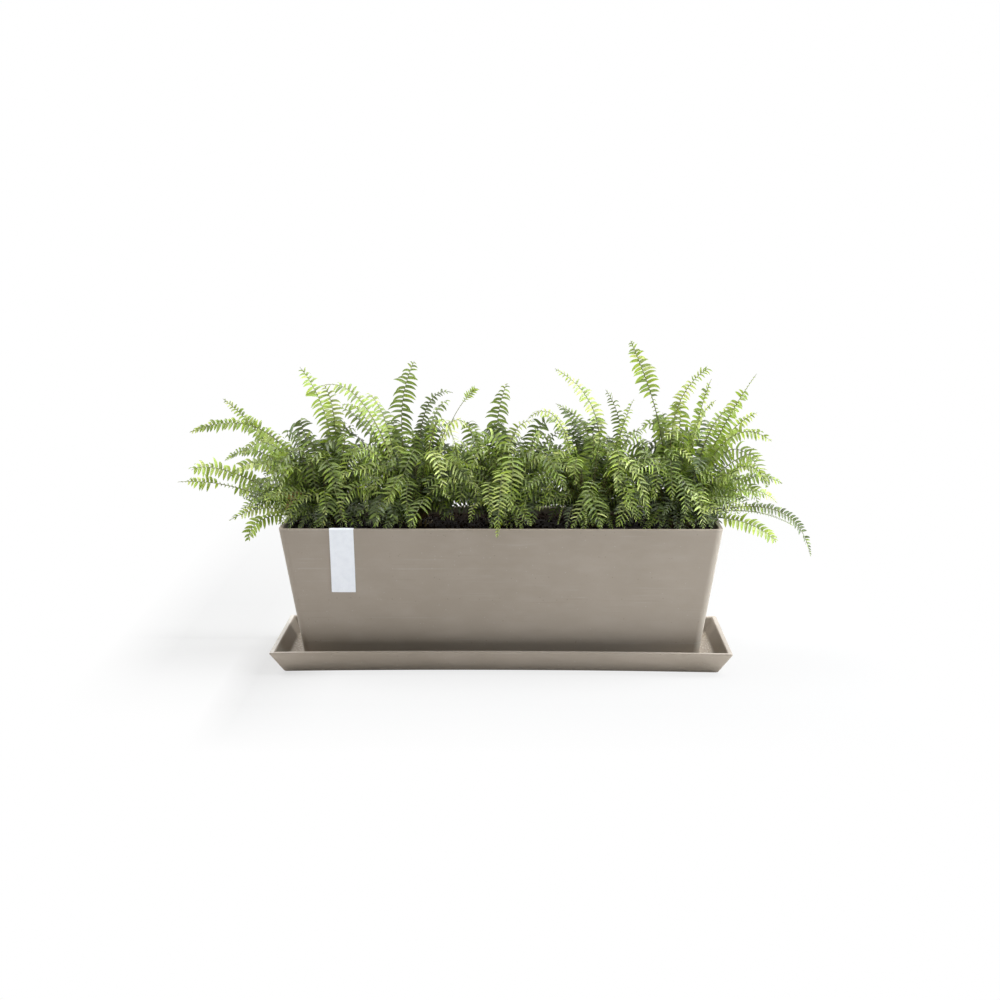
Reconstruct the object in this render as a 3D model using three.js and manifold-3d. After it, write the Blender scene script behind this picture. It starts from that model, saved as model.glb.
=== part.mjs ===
// A long tapered planting trough that stands in its own saucer, planted with five ferns.
// Millimetres, +Z up. The origin is the centre of the saucer's underside, +X runs along the
// trough and the front, with the paper tag, faces -Y.
import * as THREE from "three";
import { mergeVertices } from "three/addons/utils/BufferGeometryUtils.js";
import Module from "manifold-3d";

const wasm = await Module();
wasm.setup();

// Clearances
const SEAT_GAP = 0.3; // between a piece and what it rests on or lies against
const PLANT_GAP = 0.7; // between the leaves of two plants
const TAG_PATH_GAP = 2; // between the leaves and the way the tag is pulled off

// Saucer
const SAUCER_END_CHANNEL = 30.8; // between the trough's foot and the foot of the inner wall
const SAUCER_SIDE_CHANNEL = 33.5; // the same along the sides, at their ends
const SAUCER_HEIGHT = 42;
const SAUCER_FLARE = 22.5; // how far each wall leans out from foot to rim
const SAUCER_BOW = 10; // how far the long walls curve inward at their middle
const SAUCER_WALL = 8;
const SAUCER_CORNER = 4;
const SAUCER_RIM_LAND = 3; // upright band under the outer edge of the rim
const SAUCER_EDGE = 1.2; // bevel on the foot and the rim
const SAUCER_FLOOR_TOP = 14;
const SAUCER_FLOOR = 5;
const SAUCER_COVE = 4; // bevel where the inner walls meet the floor
const RIB_WIDTH = 6;
const RIB_PITCH = 92;
const RIB_ROWS = 2;

// Trough
const POT_LENGTH = 800; // over the rim
const POT_DEPTH = 203; // over the rim
const POT_HEIGHT = 252.4;
const POT_TAPER = 0.14; // how far each wall leans in for each millimetre down
const POT_WALL = 8.5;
const POT_CORNER = 15;
const POT_FLOOR = 8;
const POT_EDGE = 1.3; // bevel on both edges of the rim
const POT_FOOT_BEVEL = 3;
const FOOT_HEIGHT = 4;
const FOOT_RADIUS = 14;
const FOOT_INSET = 24; // from the outer bottom edge to the middle of a foot
const FOOT_COLUMNS = 3;
const DRAIN_RADIUS = 7;
const DRAIN_PITCH = 230;
const DRAIN_COUNT = 3;

// Paper tag folded over the front rim
const TAG_WIDTH = 44;
const TAG_DROP = 122; // length of the leg that shows
const TAG_INNER_LEG = 40; // length of the leg behind the wall
const TAG_THICKNESS = 1;
const TAG_FROM_END = 115; // from the trough's left end to the middle of the tag
const TAG_TRAVEL = 60; // how far the tag slides before it is off the rim

// Potting soil
const SOIL_BELOW_RIM = 12;
const SOIL_RELIEF = 2.5; // height of its lumps above and below that level
const SOIL_GRID = 27; // distance between the points of its surface

// Root balls
const PLANT_COUNT = 5;
const ROOT_RADIUS = 58; // at the top
const ROOT_FOOT_RADIUS = 46;
const ROOT_DEPTH = 105;
const ROOT_END_GAP = 8; // from the end root balls to the trough's end walls
const ROOT_PROUD = 2; // how far the root balls stand above the soil

// Ferns
const FERN_SIZE = 100; // the tables of fronds below are in hundredths of this length
const CROWN_RADIUS = 34;
const CROWN_HEIGHT = 15;
const STALK_HALF_WIDTH = 1.6;
const STALK_SHARE = 0.1; // share of a frond that is bare stalk
const FROND_THICKNESS = 2.4;
const FROND_ARCH = 0.12; // how far the sides of a frond hang, as a share of its half width
const FROND_STEPS = 7;
const FROND_ROOT_HEIGHT = 6; // above the underside of the crown
const FROND_ROOT_RADIUS = 14; // from the middle of the crown

// Shares of a circle
const CORNER_STEPS = 4;
const ROUND_STEPS = 24;
const CROWN_STEPS = 12;

// Levels and places that follow from the sizes above
const POT_UNDERSIDE = SAUCER_FLOOR_TOP + SEAT_GAP + FOOT_HEIGHT;
const RIM_LEVEL = SAUCER_FLOOR_TOP + SEAT_GAP + POT_HEIGHT;
const POT_INSIDE_FLOOR = POT_UNDERSIDE + POT_FLOOR;
const SOIL_LEVEL = RIM_LEVEL - SOIL_BELOW_RIM;
const ROOT_TOP = SOIL_LEVEL + ROOT_PROUD;
const CROWN_LEVEL = ROOT_TOP + SEAT_GAP;
const WALL_SLOPE = Math.atan(POT_TAPER);
const TAG_X = -POT_LENGTH / 2 + TAG_FROM_END;

const potHalfLength = (z) => POT_LENGTH / 2 - POT_TAPER * (RIM_LEVEL - z);
const potHalfDepth = (z) => POT_DEPTH / 2 - POT_TAPER * (RIM_LEVEL - z);
const SAUCER_REACH = SAUCER_WALL + SAUCER_FLARE * (1 - SAUCER_FLOOR_TOP / SAUCER_HEIGHT);
const SAUCER_LENGTH = 2 * (potHalfLength(POT_UNDERSIDE) + SAUCER_END_CHANNEL + SAUCER_REACH);
const SAUCER_DEPTH = 2 * (potHalfDepth(POT_UNDERSIDE) + SAUCER_SIDE_CHANNEL + SAUCER_REACH);
const END_PLANT_X = potHalfLength(SOIL_LEVEL) - POT_WALL - ROOT_END_GAP - ROOT_RADIUS;
const plantX = (n) => END_PLANT_X * ((2 * n) / (PLANT_COUNT - 1) - 1);

// Fronds of each plant, chosen by hand, from the middle of the crown: where the frond is
// bent to along the trough, and how high, its tip along, across and up, the half width of
// its blade, all in hundredths of the fern size, and the blade's turn in degrees.
const FRONDS = [
  [
    [-145, 82, -280, -20, 74, 13, 35],
    [-75, 244, -250, 0, 169, 14, 35],
    [-85, 144, -194, 40, 226, 9, 30],
    [-125, 150, -235, -50, 104, 15, 40],
    [-95, 66, -175, -40, 12, 11, 0],
    [-150, 92, -149, -62, -28, 11, 0],
    [-95, 86, -161, 24, 42, 9, 10],
    [-115, 184, -200, 60, 105, 10, 25],
    [14, 160, -50, 60, 283, 24, 0],
    [-8, 262, 46, -74, 52, 22, 0],
    [-40, 150, -62, -84, 46, 18, 0],
  ],
  [
    [-70, 304, -150, 20, 258, 12, 30],
    [-25, 170, 0, 60, 294, 18, 0],
    [-20, 264, 72, 50, 236, 15, 30],
    [45, 174, 118, 40, 251, 4, 0],
    [4, 196, -66, -82, 34, 20, 0],
    [20, 280, 56, -84, 78, 20, 0],
    [-8, 160, -6, -92, 34, 17, 0],
  ],
  [
    [-22, 150, 10, 70, 251, 20, 0],
    [0, 206, 62, 10, 188, 12, 40],
    [10, 215, -5, -122, 14, 17, 0],
    [-52, 205, -92, -34, 128, 17, 30],
    [44, 150, 88, -46, 126, 17, 30],
  ],
  [
    [34, 204, -63, 30, 283, 10, 30],
    [-40, 264, -112, -10, 196, 12, 35],
    [15, 204, -61, 54, 223, 11, 35],
    [46, 144, 32, 66, 240, 14, 0],
    [52, 164, 84, 50, 224, 12, 0],
    [56, 274, 98, -82, 40, 22, 0],
    [10, 190, 24, -92, 34, 20, 0],
    [-45, 200, -56, -80, 60, 17, 0],
  ],
  [
    [-20, 194, -81, 40, 333, 17, 55],
    [-20, 244, 60, 30, 282, 13, 30],
    [20, 174, 62, -20, 274, 12, 40],
    [15, 204, 76, -46, 222, 11, 30],
    [75, 184, 149, 0, 277, 13, 35],
    [85, 184, 152, 32, 201, 10, 30],
    [95, 214, 178, -30, 151, 15, 35],
    [75, 90, 147, -20, 126, 11, 30],
    [115, 144, 153, -52, 92, 10, 20],
    [105, 112, 195, 4, 74, 13, 30],
    [135, 104, 195, 44, 42, 11, 10],
    [215, 84, 247, -22, -58, 13, 10],
    [105, 72, 185, -52, -30, 13, 0],
    [2, 170, 8, -86, 34, 19, 0],
  ],
];

// Fans of fronds that fill each plant between those: bearings in degrees from +X, and in
// the same hundredths how far the tips reach and rise, how much further and lower every
// second frond goes, and half the width.
const FANS = [
  { from: 38, to: 142, count: 5, reach: 128, rise: 176, swing: 40, halfWidth: 17 },
  { from: 58, to: 128, count: 3, reach: 66, rise: 226, swing: 16, halfWidth: 16 },
  { from: -146, to: -40, count: 4, reach: 88, rise: 62, swing: 10, halfWidth: 17 },
  { from: -16, to: 12, count: 2, reach: 92, rise: 118, swing: 18, halfWidth: 15 },
  { from: 166, to: 196, count: 2, reach: 98, rise: 128, swing: 16, halfWidth: 15 },
];
const FAN_BEND_REACH = 0.45; // share of the reach and of the rise where a fan's fronds bend
const FAN_BEND_RISE = 1.3;
const FAN_TURN = 5; // how far each plant's fans are turned from the last one's

// Shapes

// A closed outline seen from above, anticlockwise: a rectangle with round corners, whose
// long sides may curve inward by the bow.
function outline(halfLength, halfDepth, corner, z, bow = 0, longSteps = 1) {
  const points = [];
  const along = halfLength - corner;
  const across = halfDepth - corner;
  const corners = [[along, -across], [along, across], [-along, across], [-along, -across]];
  corners.forEach(([x, y], quarter) => {
    for (let step = 0; step <= CORNER_STEPS; step++) {
      const angle = (Math.PI / 2) * (quarter - 1 + step / CORNER_STEPS);
      points.push(new THREE.Vector3(x + corner * Math.cos(angle), y + corner * Math.sin(angle), z));
    }
    if (quarter % 2 === 0) return;
    const side = Math.sign(y);
    for (let step = 1; step < longSteps; step++) {
      const place = along * (1 - (2 * step) / longSteps);
      const inward = bow * (1 - (place / along) ** 2);
      points.push(new THREE.Vector3(side * place, side * (halfDepth - inward), z));
    }
  });
  return points;
}

// The closed solid through a row of outlines with as many points each.
function loft(rings) {
  const positions = rings.flat().flatMap((point) => [point.x, point.y, point.z]);
  const index = [];
  const count = rings[0].length;
  for (let r = 0; r + 1 < rings.length; r++) {
    for (let i = 0; i < count; i++) {
      const a = r * count + i;
      const b = r * count + ((i + 1) % count);
      index.push(a, b, b + count, a, b + count, a + count);
    }
  }
  for (const r of [0, rings.length - 1]) {
    const middle = new THREE.Vector3();
    rings[r].forEach((point) => middle.addScaledVector(point, 1 / count));
    const hub = positions.length / 3;
    positions.push(middle.x, middle.y, middle.z);
    for (let i = 0; i < count; i++) {
      const a = r * count + i;
      const b = r * count + ((i + 1) % count);
      index.push(hub, ...(r === 0 ? [b, a] : [a, b]));
    }
  }
  const geometry = new THREE.BufferGeometry();
  geometry.setAttribute("position", new THREE.Float32BufferAttribute(positions, 3));
  geometry.setIndex(index);
  return geometry;
}

// A solid of revolution about Z from a profile of [radius, height] points, bottom first.
function turned(profile, x, y, z, steps = ROUND_STEPS) {
  const points = profile.map(([radius, height]) => new THREE.Vector2(radius, height));
  return new THREE.LatheGeometry(points, steps).rotateX(Math.PI / 2).translate(x, y, z);
}

function upright(radius, low, high, x, y) {
  return turned([[0, low], [radius, low], [radius, high], [0, high]], x, y, 0);
}

function block(low, high) {
  const size = new THREE.Vector3().subVectors(high, low);
  const middle = new THREE.Vector3().addVectors(low, high).multiplyScalar(0.5);
  return new THREE.BoxGeometry(size.x, size.y, size.z).translate(middle.x, middle.y, middle.z);
}

// A flat outline of [y, z] points drawn out along X.
function drawnAlongX(profile, from, to) {
  const shape = new THREE.Shape(profile.map(([y, z]) => new THREE.Vector2(y, z)));
  const geometry = new THREE.ExtrudeGeometry(shape, { depth: to - from, bevelEnabled: false });
  const turn = new THREE.Matrix4().makeBasis(
    new THREE.Vector3(0, 1, 0),
    new THREE.Vector3(0, 0, 1),
    new THREE.Vector3(1, 0, 0),
  );
  return geometry.applyMatrix4(turn).translate(from, 0, 0);
}

function solid(geometry) {
  const bare = new THREE.BufferGeometry();
  bare.setAttribute("position", geometry.getAttribute("position"));
  bare.setIndex(geometry.index);
  const merged = mergeVertices(bare, 1e-4);
  return new wasm.Manifold(
    new wasm.Mesh({
      numProp: 3,
      vertProperties: new Float32Array(merged.getAttribute("position").array),
      triVerts: new Uint32Array(merged.index.array),
    }),
  );
}

function geometryOf(body) {
  const mesh = body.getMesh();
  const geometry = new THREE.BufferGeometry();
  geometry.setAttribute("position", new THREE.BufferAttribute(mesh.vertProperties, 3));
  geometry.setIndex(new THREE.BufferAttribute(mesh.triVerts, 1));
  geometry.computeVertexNormals();
  return geometry;
}

const joined = (bodies) => bodies.reduce((all, body) => all.add(body));
const cutBy = (body, cutters) => cutters.reduce((left, cutter) => left.subtract(cutter), body);
const largestOf = (body) => body.decompose().reduce((a, b) => (a.volume() >= b.volume() ? a : b));

// Saucer
const SAUCER_LONG_STEPS = 12;

function saucerRing(z, inset) {
  const lean = SAUCER_FLARE * (1 - z / SAUCER_HEIGHT);
  const [length, depth] = [SAUCER_LENGTH, SAUCER_DEPTH].map((size) => size / 2 - lean - inset);
  const corner = Math.max(SAUCER_CORNER - inset, SAUCER_CORNER / 2);
  return outline(length, depth, corner, z, SAUCER_BOW, SAUCER_LONG_STEPS);
}

function saucerRimRing(z, inset) {
  const [length, depth] = [SAUCER_LENGTH, SAUCER_DEPTH].map((size) => size / 2 - inset);
  return outline(length, depth, SAUCER_CORNER, z, SAUCER_BOW, SAUCER_LONG_STEPS);
}

function saucerBody() {
  const shell = solid(loft([
    saucerRing(0, SAUCER_EDGE),
    saucerRing(SAUCER_EDGE, 0),
    saucerRimRing(SAUCER_HEIGHT - SAUCER_RIM_LAND, 0),
    saucerRimRing(SAUCER_HEIGHT - SAUCER_EDGE, 0),
    saucerRimRing(SAUCER_HEIGHT, SAUCER_EDGE),
    saucerRimRing(SAUCER_HEIGHT, SAUCER_WALL - SAUCER_EDGE),
    saucerRing(SAUCER_HEIGHT - SAUCER_EDGE, SAUCER_WALL),
    saucerRing(SAUCER_FLOOR_TOP + SAUCER_COVE, SAUCER_WALL),
    saucerRing(SAUCER_FLOOR_TOP, SAUCER_WALL + SAUCER_COVE),
  ]));
  return cutBy(shell, saucerPockets());
}

// The hollows between the ribs under the floor.
function saucerPockets() {
  const endX = SAUCER_LENGTH / 2 - SAUCER_FLARE - SAUCER_WALL;
  const endY = SAUCER_DEPTH / 2 - SAUCER_FLARE - SAUCER_BOW - SAUCER_WALL;
  const columns = Math.max(1, Math.round((2 * endX) / RIB_PITCH));
  const pitchX = (2 * endX + RIB_WIDTH) / columns;
  const pitchY = (2 * endY + RIB_WIDTH) / RIB_ROWS;
  const pockets = [];
  for (let column = 0; column < columns; column++) {
    for (let row = 0; row < RIB_ROWS; row++) {
      const low = new THREE.Vector3(-endX + column * pitchX, -endY + row * pitchY, -SAUCER_FLOOR);
      const size = new THREE.Vector3(pitchX - RIB_WIDTH, pitchY - RIB_WIDTH, SAUCER_FLOOR_TOP);
      pockets.push(solid(block(low, low.clone().add(size))));
    }
  }
  return pockets;
}

// Trough
function potRing(z, inset, corner) {
  return outline(potHalfLength(z) - inset, potHalfDepth(z) - inset, corner, z);
}

const POT_INNER_CORNER = Math.max(POT_CORNER - POT_WALL, POT_EDGE);

function potBody() {
  const shell = solid(loft([
    potRing(POT_UNDERSIDE, POT_FOOT_BEVEL, POT_CORNER - POT_FOOT_BEVEL),
    potRing(POT_UNDERSIDE + POT_FOOT_BEVEL, 0, POT_CORNER),
    potRing(RIM_LEVEL - POT_EDGE, 0, POT_CORNER),
    potRing(RIM_LEVEL, POT_EDGE, POT_CORNER - POT_EDGE),
    potRing(RIM_LEVEL, POT_WALL - POT_EDGE, POT_INNER_CORNER + POT_EDGE),
    potRing(RIM_LEVEL - POT_EDGE, POT_WALL, POT_INNER_CORNER),
    potRing(POT_INSIDE_FLOOR, POT_WALL, POT_INNER_CORNER),
  ]));
  return cutBy(joined([shell, ...potFeet()]), drainHoles());
}

function potFeet() {
  const endX = potHalfLength(POT_UNDERSIDE) - FOOT_INSET;
  const endY = potHalfDepth(POT_UNDERSIDE) - FOOT_INSET;
  const feet = [];
  for (let column = 0; column < FOOT_COLUMNS; column++) {
    const x = endX * ((2 * column) / (FOOT_COLUMNS - 1) - 1);
    for (const y of [-endY, endY]) {
      const top = POT_UNDERSIDE + POT_FLOOR / 2;
      feet.push(solid(upright(FOOT_RADIUS, POT_UNDERSIDE - FOOT_HEIGHT, top, x, y)));
    }
  }
  return feet;
}

function drainHoles() {
  const holes = [];
  for (let n = 0; n < DRAIN_COUNT; n++) {
    const x = DRAIN_PITCH * (n - (DRAIN_COUNT - 1) / 2);
    holes.push(solid(upright(DRAIN_RADIUS, POT_UNDERSIDE - FOOT_HEIGHT, POT_INSIDE_FLOOR + POT_FLOOR, x, 0)));
  }
  return holes;
}

// Tag: a strip bent over the rim, parallel to both faces of the front wall.
function tagLine(z, gap) {
  return -potHalfDepth(z) - gap / Math.cos(WALL_SLOPE);
}

function tagInnerLine(z, gap) {
  return -potHalfDepth(z) + POT_WALL + gap / Math.cos(WALL_SLOPE);
}

function tagBody() {
  const near = SEAT_GAP;
  const far = SEAT_GAP + TAG_THICKNESS;
  const foot = RIM_LEVEL - TAG_DROP * Math.cos(WALL_SLOPE);
  const innerFoot = RIM_LEVEL - TAG_INNER_LEG * Math.cos(WALL_SLOPE);
  const profile = [
    [tagLine(foot, far), foot],
    [tagLine(foot, near), foot],
    [tagLine(RIM_LEVEL + near, near), RIM_LEVEL + near],
    [tagInnerLine(RIM_LEVEL + near, near), RIM_LEVEL + near],
    [tagInnerLine(innerFoot, near), innerFoot],
    [tagInnerLine(innerFoot, far), innerFoot],
    [tagInnerLine(RIM_LEVEL + far, far), RIM_LEVEL + far],
    [tagLine(RIM_LEVEL + far, far), RIM_LEVEL + far],
  ];
  return solid(drawnAlongX(profile, TAG_X - TAG_WIDTH / 2, TAG_X + TAG_WIDTH / 2));
}

// The slot in the soil that the inner leg stands in, open to the wall.
function tagSlot() {
  const far = 2 * SEAT_GAP + TAG_THICKNESS;
  const low = RIM_LEVEL - TAG_INNER_LEG * Math.cos(WALL_SLOPE) - SEAT_GAP;
  const high = RIM_LEVEL;
  const profile = [
    [tagInnerLine(low, 0), low],
    [tagInnerLine(low, far), low],
    [tagInnerLine(high, far), high],
    [tagInnerLine(high, 0), high],
  ];
  const half = TAG_WIDTH / 2 + SEAT_GAP;
  return solid(drawnAlongX(profile, TAG_X - half, TAG_X + half));
}

// The space that the tag sweeps on its way off the rim.
function tagPath() {
  const gap = SEAT_GAP + TAG_THICKNESS + TAG_PATH_GAP;
  const low = RIM_LEVEL - TAG_DROP;
  const high = RIM_LEVEL + TAG_TRAVEL + gap;
  const profile = [
    [tagLine(low, gap), low],
    [tagInnerLine(low, gap), low],
    [tagInnerLine(high, gap), high],
    [tagLine(high, gap), high],
  ];
  const half = TAG_WIDTH / 2 + TAG_PATH_GAP;
  return solid(drawnAlongX(profile, TAG_X - half, TAG_X + half));
}

// Root balls
function rootBall(n, gap) {
  const profile = [
    [0, -ROOT_DEPTH - gap],
    [ROOT_FOOT_RADIUS + gap, -ROOT_DEPTH - gap],
    [ROOT_RADIUS + gap, 0],
    [0, 0],
  ];
  return solid(turned(profile, plantX(n), 0, ROOT_TOP));
}

// Soil: the inside of the trough up to a lumpy surface.
function soilHeight(x, y) {
  const long = Math.sin(x / 31) * Math.cos(y / 23);
  const short = Math.sin(x / 13 + y / 9);
  return SOIL_LEVEL + SOIL_RELIEF * (0.6 * long + 0.4 * short);
}

function soilBody() {
  const inset = POT_WALL + SEAT_GAP;
  const filling = solid(loft([
    potRing(POT_INSIDE_FLOOR + SEAT_GAP, inset, POT_INNER_CORNER),
    potRing(RIM_LEVEL, inset, POT_INNER_CORNER),
  ]));
  const balls = Array.from({ length: PLANT_COUNT }, (_, n) => rootBall(n, SEAT_GAP));
  return largestOf(cutBy(filling.intersect(soilSurface()), [...balls, tagSlot()]));
}

// A block under the soil's surface that reaches past the trough on all sides.
function soilSurface() {
  const columns = Math.ceil(POT_LENGTH / SOIL_GRID);
  const rows = Math.ceil(POT_DEPTH / SOIL_GRID);
  const surface = new THREE.PlaneGeometry(columns * SOIL_GRID, rows * SOIL_GRID, columns, rows);
  const places = surface.getAttribute("position");
  const base = places.clone();
  for (let i = 0; i < places.count; i++) {
    places.setZ(i, soilHeight(places.getX(i), places.getY(i)));
    base.setZ(i, POT_UNDERSIDE);
  }
  const count = places.count;
  const top = Array.from(surface.index.array);
  const under = top.map((i) => i + count).reverse();
  const rim = [];
  for (let c = 0; c < columns; c++) rim.push(c);
  for (let r = 0; r < rows; r++) rim.push(r * (columns + 1) + columns);
  for (let c = columns; c > 0; c--) rim.push(rows * (columns + 1) + c);
  for (let r = rows; r > 0; r--) rim.push(r * (columns + 1));
  const sides = rim.flatMap((a, i) => {
    const b = rim[(i + 1) % rim.length];
    return [a, b, b + count, a, b + count, a + count];
  });
  const geometry = new THREE.BufferGeometry();
  const positions = [...places.array, ...base.array];
  geometry.setAttribute("position", new THREE.Float32BufferAttribute(positions, 3));
  geometry.setIndex([...top, ...under, ...sides]);
  return solid(geometry);
}

// Ferns

// Half width of a frond at a share t of its length, before it is scaled by the frond's own.
function frondSpread(t) {
  const s = Math.max(0, (t - STALK_SHARE) / (1 - STALK_SHARE));
  return Math.sin(Math.PI * s ** 0.8) ** 0.8;
}

// A frond: a blade along an arching route, thickest at its midrib, with hanging sides.
function frond([bendX, bendZ, tipX, tipY, tipZ, halfWidth, turn], extra) {
  const hundredth = FERN_SIZE / 100;
  const heading = new THREE.Vector2(tipX, tipY).normalize();
  const start = new THREE.Vector3(
    heading.x * FROND_ROOT_RADIUS,
    heading.y * FROND_ROOT_RADIUS,
    FROND_ROOT_HEIGHT,
  );
  const bend = new THREE.Vector3(bendX, tipY * 0.45, bendZ).multiplyScalar(hundredth);
  const tip = new THREE.Vector3(tipX, tipY, tipZ).multiplyScalar(hundredth);
  const route = new THREE.QuadraticBezierCurve3(start, bend, tip);
  const level = new THREE.Vector3(-heading.y, heading.x, 0);
  const lean = THREE.MathUtils.degToRad(turn) * Math.sign(tipX || 1);
  const rings = [];
  for (let step = 0; step <= FROND_STEPS; step++) {
    const t = step / FROND_STEPS;
    const at = route.getPoint(t);
    const ahead = route.getTangent(t);
    const side = level.clone().addScaledVector(ahead, -level.dot(ahead)).normalize();
    side.applyAxisAngle(ahead, lean);
    const up = new THREE.Vector3().crossVectors(ahead, side);
    const half = Math.max(STALK_HALF_WIDTH, halfWidth * hundredth * frondSpread(t)) + extra;
    const thick = (FROND_THICKNESS / 2) * (1 - 0.5 * t) + extra;
    const arch = -half * FROND_ARCH;
    const place = (across, above) => at.clone().addScaledVector(side, across).addScaledVector(up, above);
    rings.push([place(half, arch), place(0, thick), place(-half, arch)]);
  }
  return loft(rings);
}

function fanFronds(n, fan) {
  const rows = [];
  for (let i = 0; i < fan.count; i++) {
    const share = i / (fan.count - 1);
    const bearing = THREE.MathUtils.degToRad(fan.from + (fan.to - fan.from) * share + FAN_TURN * (n % 3));
    const swing = fan.swing * ((i + n) % 2);
    const reach = fan.reach + swing;
    const rise = fan.rise - swing;
    const [x, y] = [reach * Math.cos(bearing), reach * Math.sin(bearing)];
    rows.push([x * FAN_BEND_REACH, rise * FAN_BEND_RISE, x, y, rise, fan.halfWidth, 0]);
  }
  return rows;
}

function fern(n, extra) {
  const crown = turned(
    [
      [0, 0],
      [CROWN_RADIUS + extra, 0],
      [CROWN_RADIUS * 0.8 + extra, CROWN_HEIGHT * 0.6 + extra],
      [0, CROWN_HEIGHT + extra],
    ],
    0,
    0,
    0,
    CROWN_STEPS,
  );
  const leaves = [...FRONDS[n], ...FANS.flatMap((fan) => fanFronds(n, fan))].map((row) => solid(frond(row, extra)));
  return joined([solid(crown), ...leaves]).translate([plantX(n), 0, CROWN_LEVEL]);
}

function fernBodies() {
  const bodies = [];
  const taken = [tagPath()];
  for (let n = 0; n < PLANT_COUNT; n++) {
    bodies.push(largestOf(cutBy(fern(n, 0), taken)));
    taken.push(fern(n, PLANT_GAP));
  }
  return bodies;
}

// Materials
const stonePlastic = new THREE.MeshStandardMaterial({ color: 0x8f857a, roughness: 0.72, metalness: 0 });
const card = new THREE.MeshStandardMaterial({ color: 0xe2e4ea, roughness: 0.6, metalness: 0 });
const pottingSoil = new THREE.MeshStandardMaterial({ color: 0x2b2118, roughness: 1, metalness: 0 });
const roots = new THREE.MeshStandardMaterial({ color: 0x4a3b28, roughness: 1, metalness: 0 });
const leaf = new THREE.MeshStandardMaterial({ color: 0x5f7a3c, roughness: 0.55, metalness: 0 });

// Assembly
const planter = new THREE.Group();

function place(name, body, material) {
  const mesh = new THREE.Mesh(geometryOf(body), material);
  mesh.name = name;
  planter.add(mesh);
}

place("saucer", saucerBody(), stonePlastic);
place("trough", potBody(), stonePlastic);
place("paper_tag", tagBody(), card);
place("potting_soil", soilBody(), pottingSoil);
fernBodies().forEach((body, n) => {
  place(`root_ball_${n + 1}`, rootBall(n, 0), roots);
  place(`fern_${n + 1}`, body, leaf);
});

export default planter;
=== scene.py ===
"""Looks of the long planting trough: stone-grey plastic, a blank folded tag, soil and five sword ferns.

Blender works in metres. The shapes here are worked out in millimetres and scaled as each mesh is made.
"""

import math

import bpy
import numpy as np
from mathutils import Matrix, Vector


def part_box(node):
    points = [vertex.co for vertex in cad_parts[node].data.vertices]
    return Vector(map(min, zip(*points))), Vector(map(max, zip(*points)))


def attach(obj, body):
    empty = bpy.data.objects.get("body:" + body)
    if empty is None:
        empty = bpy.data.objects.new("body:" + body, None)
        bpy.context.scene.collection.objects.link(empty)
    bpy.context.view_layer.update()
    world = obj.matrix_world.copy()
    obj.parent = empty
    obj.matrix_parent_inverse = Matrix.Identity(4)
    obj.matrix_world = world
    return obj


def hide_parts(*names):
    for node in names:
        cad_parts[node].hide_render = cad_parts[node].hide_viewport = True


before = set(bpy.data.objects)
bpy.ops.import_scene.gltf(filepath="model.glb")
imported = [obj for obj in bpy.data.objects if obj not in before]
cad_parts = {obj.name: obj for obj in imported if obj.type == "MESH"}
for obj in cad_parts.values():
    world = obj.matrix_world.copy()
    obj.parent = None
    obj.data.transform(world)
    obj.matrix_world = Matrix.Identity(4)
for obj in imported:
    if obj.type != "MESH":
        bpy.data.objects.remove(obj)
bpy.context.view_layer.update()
MM = 0.001

# Sizes of the model that its boxes don't give, in millimetres
SAUCER_HEIGHT, SAUCER_FLARE, SAUCER_BOW, SAUCER_WALL = 42.0, 22.5, 10.0, 8.0
SAUCER_CORNER, SAUCER_FLOOR_TOP, SAUCER_FLOOR, SAUCER_COVE = 4.0, 14.0, 5.0, 4.0
SAUCER_FOOT_EDGE, SAUCER_RIM_EDGE, SAUCER_BAND = 2.0, 1.6, 3.0
RIB_WIDTH, RIB_COLUMNS, RIB_ROWS, POCKET_CORNER = 6.0, 8, 2, 3.0
POT_TAPER, POT_WALL, POT_CORNER, POT_FLOOR = 0.14, 8.5, 15.0, 8.0
POT_FOOT_EDGE, POT_RIM_EDGE, POT_COVE = 4.0, 1.8, 5.0
FOOT_HEIGHT, FOOT_RADIUS, FOOT_INSET, FOOT_EDGE = 4.0, 14.0, 24.0, 1.5
DRAIN_RADIUS, DRAIN_PITCH = 7.0, 230.0
TAG_DROP, TAG_INNER_LEG = 122.0, 40.0
TAG_THICKNESS, TAG_FOLD = 0.8, 2.2
TAG_PATH = 64.0  # kept free above the tag, a little more than it slides
SEAT_GAP = 0.3
SOIL_DEPTH_BELOW_RIM = 12.0
ROOT_RADIUS_TOP, ROOT_RADIUS_LOW, ROOT_DEPTH = 58.0, 46.0, 7.0
FLOOR_HALF = 9000.0
# Counts, and turns in radians
PLANT_COUNT, CRUMB_COUNT, STUB_COUNT, LOW_FRONDS, FRONT_FRONDS = 5, 1500, 46, 16, 12
FULL_TURN = 2 * math.pi
RANDOM_TURN = 6.28  # nearly a full turn, the range of random angles


def box_mm(node):
    """Lowest and highest corner of a node of the model, in millimetres."""
    low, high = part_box(node)
    return np.array(low) / MM, np.array(high) / MM


SAUCER_HIGH = box_mm("saucer")[1]
POT_LOW, POT_HIGH = box_mm("trough")
TAG_LOW, TAG_HIGH = box_mm("paper_tag")
RIM_LEVEL = POT_HIGH[2]
POT_UNDERSIDE = POT_LOW[2] + FOOT_HEIGHT
SOIL_LEVEL = RIM_LEVEL - SOIL_DEPTH_BELOW_RIM
CROWN_LEVEL = box_mm("fern_3")[0][2]
ROOTS = [box_mm(f"root_ball_{n + 1}") for n in range(PLANT_COUNT)]
PLANT_X = [(low[0] + high[0]) / 2 for low, high in ROOTS]


def put(name, data):
    """A new object in the scene, of a mesh, a camera or a lamp."""
    thing = bpy.data.objects.new(name, data)
    bpy.context.scene.collection.objects.link(thing)
    return thing


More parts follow.
